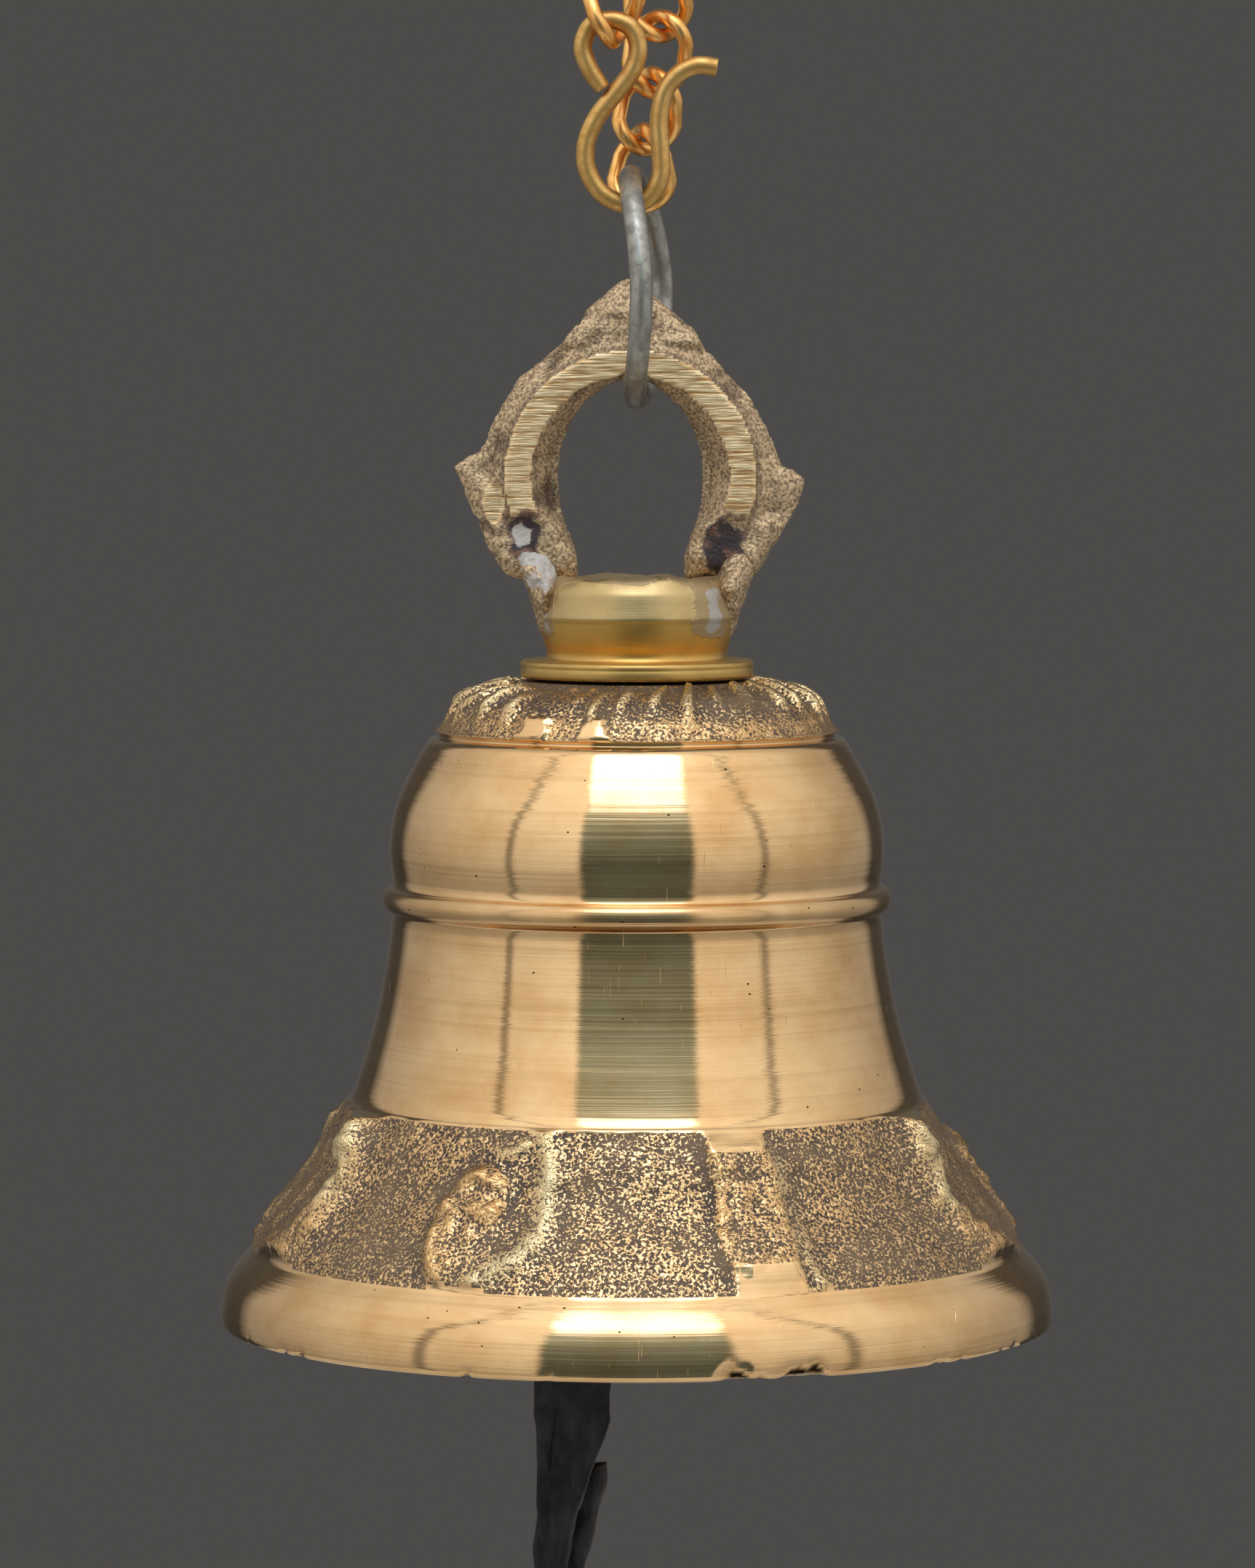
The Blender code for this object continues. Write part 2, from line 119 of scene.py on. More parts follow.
def surface(name, grid, wrapRows=False, wrapCols=True, poles=(False, False), uvSize=(1, 1), values=None):
    # a closed mesh from a grid of points in mm; a pole closes the first or last row into its middle
    rows, cols = grid.shape[:2]
    points = grid.reshape(-1, 3)
    index = np.arange(rows * cols).reshape(rows, cols)
    i = np.arange(rows if wrapRows else rows - 1)
    j = np.arange(cols if wrapCols else cols - 1)
    ii, jj = np.meshgrid(i, j, indexing="ij")
    corners = [(ii, jj), (ii, jj + 1), (ii + 1, jj + 1), (ii + 1, jj)]
    faces = [np.stack([index[a % rows, b % cols] for a, b in corners], -1).reshape(-1, 4)]
    uvs = [np.stack([np.stack([b / cols, a / max(rows - 1, 1)], -1) for a, b in corners], 2).reshape(-1, 4, 2)]
    for row in (0, rows - 1):
        if poles[0 if row == 0 else 1]:
            tip = len(points)
            points = np.vstack([points, grid[row].mean(0)])
            a, b = index[row, j % cols], index[row, (j + 1) % cols]
            faces.append(np.stack([b, a, a * 0 + tip] if row == 0 else [a, b, a * 0 + tip], -1))
            ends = (j + 1, j, j + 0.5) if row == 0 else (j, j + 1, j + 0.5)
            uvs.append(np.stack([np.stack([e / cols, j * 0 + row / max(rows - 1, 1)], -1) for e in ends], 1))

    # turned the right way out: the volume that the triangles enclose has to be positive
    volume = sum(
        np.einsum("ij,ij->", points[f[:, 0]], np.cross(points[f[:, k]], points[f[:, k + 1]]))
        for f in faces for k in range(1, f.shape[1] - 1))
    if volume < 0:
        faces, uvs = [f[:, ::-1] for f in faces], [u[:, ::-1] for u in uvs]
    loops = np.concatenate([f.ravel() for f in faces])
    sizes = np.concatenate([np.full(len(f), f.shape[1]) for f in faces])

    mesh = bpy.data.meshes.new(name)
    place = points * mm
    place[:, 2] += lipZ
    mesh.vertices.add(len(points))
    mesh.vertices.foreach_set("co", place.astype(np.float32).ravel())
    mesh.loops.add(len(loops))
    mesh.loops.foreach_set("vertex_index", loops.astype(np.int32))
    mesh.polygons.add(len(sizes))
    mesh.polygons.foreach_set("loop_start", (np.cumsum(sizes) - sizes).astype(np.int32))
    mesh.polygons.foreach_set("use_smooth", np.ones(len(sizes), bool))
    layer = mesh.uv_layers.new(name="surface")
    flat = np.concatenate([u.reshape(-1, 2) for u in uvs]) * np.array(uvSize)
    layer.uv.foreach_set("vector", flat.astype(np.float32).ravel())
    for key, value in (values or {}).items():
        full = np.r_[value.ravel(), [value[row].mean() for k, row in ((0, 0), (1, -1)) if poles[k]]]
        mesh.attributes.new(key, "FLOAT", "POINT").data.foreach_set("value", full.astype(np.float32))
    mesh.update()
    mesh.validate()
    return stand(name, mesh)


def around(profile, columns, push=None, centreX=0):
    # turns a profile of (radius, height) about the upright axis; push moves points along the profile's normal
    angle = circle(columns) - math.pi / 2
    slope = np.gradient(profile, axis=0)
    normal = np.stack([-slope[:, 1], slope[:, 0]], 1)
    normal /= np.maximum(np.linalg.norm(normal, axis=1, keepdims=True), 1e-9)
    shape = np.repeat(profile[:, None], columns, 1)
    if push is not None:
        shape = shape + normal[:, None] * push[..., None]
    return np.stack([
        centreX + shape[..., 0] * np.cos(angle), shape[..., 0] * np.sin(angle), shape[..., 1]
    ], -1)


def carry(path, outward, section, closed=False):
    # carries a section, given as (rows, sides, 2) in mm out and sideways, along a path; outward is one
    # direction for all of it, or one at each point, and is squared up to the path
    tangent = np.roll(path, -1, 0) - np.roll(path, 1, 0) if closed else np.gradient(path, axis=0)
    tangent = tangent / np.linalg.norm(tangent, axis=1, keepdims=True)
    out = np.broadcast_to(outward, path.shape)
    out = out - tangent * np.sum(out * tangent, 1, keepdims=True)
    out = out / np.linalg.norm(out, axis=1, keepdims=True)
    side = np.cross(tangent, out)
    return path[:, None] + section[..., :1] * out[:, None] + section[..., 1:] * side[:, None]


def roundSection(rows, radius, sides):
    # circles of a radius that may change along the path
    a = circle(sides)
    size = np.broadcast_to(np.asarray(radius, float), (rows,))[:, None, None]
    return size * np.stack([np.cos(a), np.sin(a)], -1)[None]


def settle(piece, body, replaced, slotName, *materials):
    # gives a finished piece its materials, its CAD node and its body
    for material in materials:
        piece.data.materials.append(material)
    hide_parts(*replaced)
    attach(piece, body)
    print(piece.name, len(piece.data.polygons), "faces")
    return piece


def connect(node, inputs):
    # a node's inputs: values, sRGB hex colours, outputs of other nodes, or the place on the object with the sizes
    # in mm of a pattern's features along x, y and z, and perhaps an angle about y
    for key, value in inputs.items():
        if isinstance(value, tuple) and isinstance(value[0], bpy.types.NodeSocket):
            place, *sizes = value
            value = put(node.id_data, "Mapping", {"Vector": place, "Rotation": (0, sum(sizes[3:]), 0),
                                                  "Scale": tuple(1 / (size * mm) for size in sizes[:3])})
        socket = node.inputs[key]
        if isinstance(value, bpy.types.NodeSocket):
            node.id_data.links.new(value, socket)
        else:
            socket.default_value = linear(value) if isinstance(value, str) else value


def put(tree, kind, inputs=(), out=0, stops=None, **settings):
    # adds one node with its settings, ramp stops and inputs, and gives back one of its outputs; inputs are a
    # dictionary, or a row in the node's own order; a mix is of two colours, and a texture's own scale is 1
    node = tree.nodes.new("ShaderNode" + kind)
    order = range(len(node.inputs))
    if kind == "Mix":
        node.data_type, order, out = "RGBA", (0, 6, 7), 2
    if kind in ("TexNoise", "TexVoronoi"):
        node.inputs["Scale"].default_value = 1
    for key, value in settings.items():
        setattr(node, key, value)
    if stops:
        ramp = node.color_ramp.elements
        for stop, (at, _) in zip([ramp[0], ramp[1]], (stops[0], stops[-1])):
            stop.position = at
        for at, _ in stops[1:-1]:
            ramp.new(at)
        for stop in ramp:
            colour = min(stops, key=lambda s: abs(s[0] - stop.position))[1]
            stop.color = linear(colour) if isinstance(colour, str) else (colour, colour, colour, 1)
    connect(node, inputs if isinstance(inputs, dict) else dict(zip(order, inputs)))
    return node.outputs[out] if node.outputs else node


def newMaterial(name, **sockets):
    # a Principled material: itself, what adds a node to it, its shader, and the place on the object
    material = bpy.data.materials.new(name)
    material.use_nodes = True
    add = functools.partial(put, material.node_tree)
    shader = material.node_tree.nodes["Principled BSDF"]
    connect(shader, sockets)
    return material, add, shader, add("TexCoord", out="Object")


def turnedBronzeMaterial():
    # bell bronze turned and buffed on a lathe: a pale gold mirror, drawn out upwards by fine level tool lines
    look = {
        "clean": "#EAC594", "tarnished": "#D9AE79", "streakShade": "#A5814C", "pinhole": "#37291B",
        "toolLine": (40, 40, 0.24), "broadLine": (55, 55, 0.60), "lineDepth": 0.017,
    }
    material, add, shader, place = newMaterial("turnedBellBronze", Metallic=1)
    line = add("TexNoise", {"Vector": (place, *look["toolLine"]), "Detail": 3, "Roughness": 0.7})
    broad = add("TexNoise", {"Vector": (place, *look["broadLine"]), "Detail": 2})
    cloud = add("TexNoise", {"Vector": (place, 8, 8, 6), "Detail": 6, "Roughness": 0.62})
    scratch = add("TexNoise", {"Vector": (place, 0.14, 2.6, 3.2, 0.5), "Distortion": 0.5})
    speck = add("TexVoronoi", {"Vector": (place, 2.6, 2.6, 2)})
    hole = add("MapRange", (speck, 0.055, 0.035))
    tarnish = add("MapRange", (cloud, 0.40, 0.66))
    # stripe lays painted shade along the broad tool lines: dark streaks that stand in for the streaky reflection
    stripe = add("MapRange", (broad, 0.52, 0.78, 0, 0.30))
    dull = add("Attribute", out="Fac", attribute_name="dull")
    colour = look["clean"]
    for share, over in ((tarnish, "tarnished"), (stripe, "streakShade"), (hole, "pinhole"), (dull, "pinhole")):
        colour = add("Mix", (share, colour, look[over]))
    rough = add("MapRange", (line, 0.3, 0.7, 0.035, 0.065))
    rough = add("Math", (rough, add("MapRange", (cloud, 0.5, 0.7, 0, 0.03))))
    rough = add("Math", (rough, add("MapRange", (dull, 0, 1, 0, 0.9))))
    mark = add("MapRange", (scratch, 0.74, 0.80, 0, 1.5))
    height = add("Math", (line, mark), operation="SUBTRACT")
    height = add("Math", (add("Math", (broad, 2), operation="MULTIPLY"), height))
    connect(shader, {
        "Base Color": colour, "Roughness": rough,
        "Normal": add("Bump", {"Height": height, "Distance": look["lineDepth"] * mm, "Strength": 1}),
    })
    return material


def castSkinMaterial():
    # bronze as it left the sand: the tops of the grains rubbed to bright gold over a dark brown skin
    look = {
        "skin": "#483C36", "skinPale": "#7A644C", "grain": "#D3A873", "grainBright": "#F2D2A0", "olive": "#C6B68E",
        "grainSize": 0.26, "grainDepth": 0.11,
    }
    material, add, shader, place = newMaterial("sandCastBellBronze")
    size = look["grainSize"]
    grain = add("TexNoise", {
        "Vector": (place, size, size, size), "Detail": 1.6, "Roughness": 0.45, "Distortion": 0.5})
    cloud = add("TexNoise", {"Vector": (place, 5, 5, 5), "Detail": 3, "Roughness": 0.55})
    # worn brightens what stands proud, as wear, and darkens the hollows of the relief, as painted shade
    worn = add("Attribute", out="Fac", attribute_name="worn")
    vine = add("Attribute", out="Fac", attribute_name="vine")
    lift = add("Math", (add("Math", (worn, 0.16), operation="MULTIPLY"), grain))
    lift = add("Math", (add("Math", (vine, 0.09), operation="MULTIPLY"), lift))
    lift = add("Math", (lift, add("MapRange", (cloud, 0.35, 0.65, -0.04, 0.06))), operation="SUBTRACT")
    gold = add("MapRange", (lift, 0.48, 0.57))
    tone = add("MapRange", (cloud, 0.35, 0.70))
    bright = add("MapRange", (grain, 0.55, 0.70))
    skin = add("Mix", (tone, look["skin"], look["skinPale"]))
    metal = add("Mix", (bright, look["grain"], look["grainBright"]))
    metal = add("Mix", (vine, metal, look["olive"]))
    connect(shader, {
        "Base Color": add("Mix", (gold, skin, metal)),
        "Metallic": add("MapRange", (gold, 0, 1, 0.35, 1)),
        "Roughness": add("MapRange", (gold, 0, 1, 0.55, 0.27)),
        "Normal": add("Bump", {"Height": grain, "Distance": look["grainDepth"] * mm, "Strength": 1}),
    })
    return material


def insideMaterial():
    # the inside of the casting after one rough pass of the tool: dull, streaked brown gold
    look = {"dull": "#8A6A3E", "dark": "#4A3824", "line": (5, 5, 0.5)}
    material, add, shader, place = newMaterial("roughTurnedInside", Metallic=0.85)
    line = add("TexNoise", {"Vector": (place, *look["line"]), "Detail": 3, "Roughness": 0.6})
    cloud = add("TexNoise", {"Vector": (place, 5, 5, 5), "Detail": 5, "Roughness": 0.6})
    tone = add("MapRange", (cloud, 0.35, 0.65))
    connect(shader, {
        "Base Color": add("Mix", (tone, look["dull"], look["dark"])),
        "Roughness": add("MapRange", (line, 0.3, 0.7, 0.38, 0.6)),
        "Normal": add("Bump", {"Height": add("Math", (line, cloud)),
                                     "Distance": 0.03 * mm, "Strength": 1}),
    })
    return material


def turnedBrassMaterial():
    # yellow brass turned and left bright, heated when the loop was brazed on: straw and orange near its foot
    look = {
        "straw": "#C9B07E", "gold": "#D9B468", "orange": "#DDA348", "yellow": "#CDAA66", "haze": "#A88A55",
        "smear": "#B9A27C", "flux": "#C4BFB8", "foot": 59, "top": 68,
        "toolLine": (9, 9, 0.2), "lineDepth": 0.010,
    }
    material, add, shader, place = newMaterial("turnedYellowBrass", Metallic=1)
    line = add("TexNoise", {"Vector": (place, *look["toolLine"]), "Detail": 3, "Roughness": 0.6})
    cloud = add("TexNoise", {"Vector": (place, 3.5, 3.5, 2.5), "Detail": 5, "Roughness": 0.6})
    height = add("Math", (add("SeparateXYZ", [place], 2), lipZ), operation="SUBTRACT")
    height = add("MapRange", (height, look["foot"] * mm, look["top"] * mm))
    colour = add("ValToRGB", [height], stops=[
        (0, look["yellow"]), (0.20, look["yellow"]), (0.30, look["orange"]), (0.60, look["gold"]),
        (0.64, look["straw"]), (1, look["straw"])])
    patch = add("Attribute", out="Fac", attribute_name="patch")
    edge = add("MapRange", (add("Math", (patch, cloud)), 1.02, 1.08))
    white = add("MapRange", (add("Math", (patch, cloud)), 1.36, 1.42))
    tone = add("MapRange", (cloud, 0.45, 0.75, 0, 0.5))
    for share, over in ((tone, "haze"), (edge, "smear"), (white, "flux")):
        colour = add("Mix", (share, colour, look[over]))
    rough = add("MapRange", (line, 0.3, 0.7, 0.34, 0.46))
    run = add("Math", (add("Math", (edge, cloud), operation="MULTIPLY"), 9), operation="MULTIPLY")
    connect(shader, {
        "Base Color": colour,
        "Roughness": add("Math", (rough, add("Math", (edge, 0.2), operation="MULTIPLY"))),
        "Normal": add("Bump", {
            "Height": add("Math", (line, run)), "Distance": look["lineDepth"] * mm, "Strength": 1}),
    })
    return material


def loopBronzeMaterial(name="sandCastLoopBronze"):
    # the loop's casting: sandy gold skin, file cuts on its front, and scorch, copper red and white flux by the braze
    look = {
        "sand": "#DFC29A", "sandDark": "#8D7760", "hollowShade": "#54453A", "filed": "#FFE6B8", "filedGrooveShade": "#B98C55",
        "scorch": "#42373A", "copper": "#7C5B4C", "flux": "#C6BFB8", "grainSize": 0.30,
        "fileLine": (3.4, 3.4, 0.20), "fileDepth": 0.13, "grainDepth": 0.14,
    }
    material, add, shader, place = newMaterial(name)
    size = look["grainSize"]
    grain = add("TexNoise", {"Vector": (place, size, size, size), "Detail": 2.5, "Roughness": 0.55})
    cloud = add("TexNoise", {"Vector": (place, 1.9, 1.9, 1.9), "Detail": 4, "Roughness": 0.6})
    cut = add("TexNoise", {"Vector": (place, *look["fileLine"], 0.05), "Detail": 2, "Roughness": 0.6})
    masks = {key: add("Attribute", out="Fac", attribute_name=key) for key in ("filed", "hollowShade", "scorch", "flux")}
    filed = add("MapRange", (masks["filed"], 0.35, 0.65))
    tone = add("MapRange", (grain, 0.38, 0.60))
    skin = add("Mix", (tone, look["sandDark"], look["sand"]))
    # this mix darkens the hollows, the arch's inner wall and the slope past the filed band with painted shade
    skin = add("Mix", (masks["hollowShade"], skin, look["hollowShade"]))
    # the file cuts get a painted highlight on their ridges and painted shade in their grooves
    paintedCutShading = add("MapRange", (cut, 0.35, 0.62))
    face = add("Mix", (paintedCutShading, look["filedGrooveShade"], look["filed"]))
    burnt = add("Mix", (add("MapRange", (cloud, 0.54, 0.62)), look["scorch"], look["copper"]))
    burning = add("MapRange", (add("Math", (masks["scorch"], cloud)), 0.86, 1.02))
    white = add("MapRange", (add("Math", (masks["flux"], cloud)), 1.02, 1.12))
    colour = skin
    for share, over in ((filed, face), (burning, burnt), (white, look["flux"])):
        colour = add("Mix", (share, colour, over))
    metal = add("MapRange", (filed, 0, 1, 0.70, 0.62))
    for share, least in ((white, 0), (burning, 0.4)):
        metal = add("Math", (metal, add("MapRange", (share, 0, 1, 1, least))), operation="MULTIPLY")
    sandBump = add("Bump", {"Height": grain, "Distance": look["grainDepth"] * mm,
                            "Strength": add("MapRange", (filed, 0, 1, 1, 0))})
    connect(shader, {
        "Base Color": colour, "Metallic": metal,
        "Roughness": add("MapRange", (filed, 0, 1, 0.48, 0.42)),
        "Normal": add("Bump", {"Height": cut, "Distance": look["fileDepth"] * mm, "Strength": filed,
                                     "Normal": sandBump}),
    })
    return material


def wireMaterial(name, base, worn, rough, drawn, depth=0.006, tarnish=0.35):
    # drawn wire: soft streaks along its length from the die, cloudy tarnish, and small rubbed spots
    material, add, shader, place = newMaterial(name, Metallic=1)
    along = add("UVMap", uv_map="surface")
    streak = add("TexNoise", {"Vector": add("Mapping", {
        "Vector": along, "Scale": (1 / drawn[0], 1 / drawn[1], 1)}), "Detail": 3, "Roughness": 0.6})
    cloud = add("TexNoise", {"Vector": (place, 1.6, 1.6, 1.6), "Detail": 5, "Roughness": 0.62})
    fine = add("TexNoise", {"Vector": (place, 0.3, 0.3, 0.3), "Detail": 2})
    tone = add("MapRange", (cloud, 0.42, 0.62))
    colour = add("Mix", (tone, base, worn))
    height = add("Math", (streak, add("Math", (fine, cloud))))
    lift = add("MapRange", (cloud, 0.4, 0.7, rough, rough + tarnish))
    connect(shader, {
        "Base Color": colour, "Roughness": lift,
        "Normal": add("Bump", {"Height": height, "Distance": depth * mm, "Strength": 1}),
    })
    return material


def leatherMaterial():
    # vegetable leather dyed near black and handled to a dull shine: a fine pebbled grain, creases, brown cut edges
    look = {"dyed": "#121114", "rubbed": "#2B2A2E", "edge": "#2A1C16", "grain": 0.42, "grainDepth": 0.05}
    material, add, shader, place = newMaterial("dyedStrapLeather", **{"Specular IOR Level": 0.28})
    size = look["grain"]
    pebble = add("TexVoronoi", {"Vector": (place, size, size, size)}, feature="SMOOTH_F1")
    cloud = add("TexNoise", {"Vector": (place, 2.2, 2.2, 3.5), "Detail": 4, "Roughness": 0.6})
    crease = add("TexNoise", {"Vector": (place, 0.9, 0.9, 5), "Detail": 2, "Distortion": 0.7})
    edge = add("Attribute", out="Fac", attribute_name="edge")
    tone = add("MapRange", (cloud, 0.42, 0.68))
    colour = add("Mix", (tone, look["dyed"], look["rubbed"]))
    colour = add("Mix", (edge, colour, look["edge"]))
    fine = add("Bump", {"Height": pebble, "Distance": look["grainDepth"] * mm, "Strength": 0.7})
    connect(shader, {
        "Base Color": colour,
        "Roughness": add("MapRange", (cloud, 0.35, 0.7, 0.60, 0.38)),
        "Normal": add("Bump", {"Height": crease, "Distance": 0.25 * mm, "Strength": 0.8, "Normal": fine}),
    })
    return material


def makeCamera():
    # a little above the bell's middle and looking slightly down, through a long lens
    look = {"x": -0.86, "distance": 611, "height": 88.9, "aim": 49.3, "lens": 154, "sensor": 36}
    data = bpy.data.cameras.new("camera")
    data.lens = look["lens"]
    data.sensor_width = look["sensor"]
    camera = stand("camera", data)
    camera.location = (look["x"] * mm, -look["distance"] * mm, lipZ + look["height"] * mm)
    aim = Vector((look["x"] * mm, 0, lipZ + look["aim"] * mm))
    camera.rotation_euler = (aim - camera.location).to_track_quat("-Z", "Y").to_euler()
    bpy.context.scene.camera = camera
    bpy.context.scene.view_settings.view_transform = "Standard"


def makeTent():
    # a round light tent for bright metal: white walls with a thin seam on each side, a lighter roof,
    # an opening in front, and a grey room that the camera sees behind the bell
    look = {
        "room": "#4D4B49",
        "walls": [(0, 0), (0.138, 0), (0.152, 1.15), (0.326, 1), (0.336, 0.40), (0.346, 0.40), (0.357, 0.98),
                  (0.50, 0.86), (0.62, 0.68), (0.74, 0.56), (0.79, 0.10), (0.86, 0.10), (0.93, 0.15), (1, 0.15)],
        "wallsByHeight": [(0.25, 0.30), (0.44, 0.52), (0.48, 0.66), (0.57, 0.86), (0.64, 1), (0.80, 1.25),
                          (1, 1.3)],
        "opening": [(0, 0.05), (0.42, 0.22), (0.475, 0.14), (0.53, 0.26), (0.58, 0.40), (0.64, 0.66), (0.68, 0.98),
                    (0.73, 2), (0.79, 4.2), (0.86, 4), (0.93, 1.6), (1, 1.3)],
    }
    world = bpy.data.worlds.new("lightTent")
    world.use_nodes = True
    tree = world.node_tree
    tree.nodes.clear()
    add = functools.partial(put, tree)
    x, y, z = add("SeparateXYZ", [add("TexCoord", out="Generated")]).node.outputs
    turn = add("Math", (x, add("Math", (y, -1), operation="MULTIPLY")), operation="ARCTAN2")
    turn = add("Math", (add("Math", [turn], operation="ABSOLUTE"), math.pi), operation="DIVIDE")
    rise = add("MapRange", (add("Math", [z], operation="ARCSINE"), -math.pi / 2, math.pi / 2))
    # each ramp is kept within 1, and its light scaled back up after it
    walls = add("ValToRGB", [turn], stops=[(a, v / 3) for a, v in look["walls"]])
    byHeight = add("ValToRGB", [rise], stops=[(a, v / 3) for a, v in look["wallsByHeight"]])
    wallLight = add("Math", (add("Math", (walls, byHeight), operation="MULTIPLY"), 9), operation="MULTIPLY")
    opening = add("ValToRGB", [rise], stops=[(a, v / 5) for a, v in look["opening"]])
    opening = add("Math", (opening, 5), operation="MULTIPLY")
    narrow = add("MapRange", (rise, 0.74, 0.85, 0, 0.06))
    inFront = add("MapRange", (add("Math", (turn, narrow), operation="SUBTRACT"), 0.149, 0.141))
    cool = add("MapRange", (rise, 0.66, 0.72))
    tint = add("Mix", (cool, "#C4D8D8", "#EEF5FF"))
    front = add("Background", {"Color": tint, "Strength": opening})
    sides = add("Background", {"Color": "#FFFDF8", "Strength": wallLight})
    lights = add("MixShader", (inFront, sides, front))
    seen = add("Background", {"Color": look["room"], "Strength": 1})
    both = add("MixShader", (add("LightPath", out="Is Camera Ray"), lights, seen))
    add("OutputWorld", {"Surface": both})
    bpy.context.scene.world = world


def makeFloor():
    # a pale round board, well below the bell so that it stays out of the main picture
    look = {"radius": 170, "drop": 78, "thick": 6}
    profile = np.array([(0.5, -look["drop"]), (look["radius"] - 2, -look["drop"]),
                        (look["radius"], -look["drop"] - 2), (look["radius"], -look["drop"] - look["thick"]),
                        (0.5, -look["drop"] - look["thick"])])
    floor = surface("floor", around(profile, 96), poles=(True, True))
    material, add, shader, place = newMaterial("paleBoard", Roughness=0.7)
    cloud = add("TexNoise", {"Vector": (place, 40, 40, 40), "Detail": 3})
    connect(shader, {"Base Color": add("Mix", (cloud, "#D8D5CF", "#CFCBC4"))})
    floor.data.materials.append(material)


beadHeight = 38.9  # the raised ring round the waist, in mm above the lip


def bellProfile():
    # the outside in short smooth curves between the tool's marks, then the lip's edge, then the inside
    zones = [
        ("cast", through([(3.2, 58.8), (8, 58.85), (10.2, 58.8)], 1.6)),
        ("cast", through([(10.2, 58.8), (12, 58.65), (15, 57.95), (17.25, 56.25), (18.5, 54.45)], 0.34)),
        ("turned", through([(18.45, 54.2), (18.2, 54.05), (18.15, 53.75), (18.4, 53.6)], 0.15)),
        ("turned", through([(18.9, 53.55), (20.4, 51), (21.7, 48.3), (22.35, 45.9), (22.6, 43.4),
                            (22.4, 41.3), (22.22, 40.3)], 0.75)),
        ("turned", [(22.33 + 0.9 * math.cos(a), beadHeight + 1.15 * math.sin(a))
                    for a in np.radians(np.arange(78, -79, -13))]),
        ("turned", through([(22.35, 37.5), (22.6, 35), (23.15, 31.6), (23.9, 28), (24.8, 24.8),
                            (25.75, 21.75), (26.15, 20.75)], 1)),
        ("turned", [(26.35, 20.62), (26.5, 20.5)]),
        ("cast", through([(26.55, 20.35), (27, 19.5), (28.2, 17.4), (29.3, 14.9), (30.5, 13.1),
                          (32.5, 10.8), (35, 7.4)], 0.28)),
        ("turned", through([(35.2, 7.05), (36.6, 5.5), (37.45, 4.2), (37.9, 2.7), (38.08, 1.2),
                            (38.05, 0.25)], 0.40)),
        ("turned", [(37.75, 0.05), (37.4, 0), (36.2, 0), (35.1, 0), (34.8, 0.08)]),
        ("inside", through([(34.4, 0.7), (33.4, 4.5), (31.4, 8), (29, 11.5), (25.9, 15.5), (24.1, 20),
                            (22, 26), (20.2, 34), (19.5, 43), (18.8, 47.8), (17, 51.2), (13.4, 54.2),
                            (8, 55.4), (3.2, 55.5)], 2.2)),
    ]
    profile = np.vstack([points for _, points in zones])
    kind = np.concatenate([np.full(len(points), {"cast": 1, "turned": 0, "inside": 2}[k]) for k, points in zones])
    return profile, kind


def ridge(u, height, path, wide, tall):
    # a rounded raised line: a bell curve of the distance from a smooth path; wide and tall may run from end to end
    line = through(path, 0.5)
    share = np.linspace(0, 1, len(line))
    width, rise = spaced(share, wide), spaced(share, tall)
    near = (np.abs(u - line[:, 0].mean()) < 12) & (height < 23) & (height > 5)
    out = np.zeros(u.shape)
    d2 = (u[near][:, None] - line[:, 0]) ** 2 + (1.25 * (height[near][:, None] - line[:, 1])) ** 2
    out[near] = np.max(rise * np.exp(-d2 / width**2), axis=1)
    return out


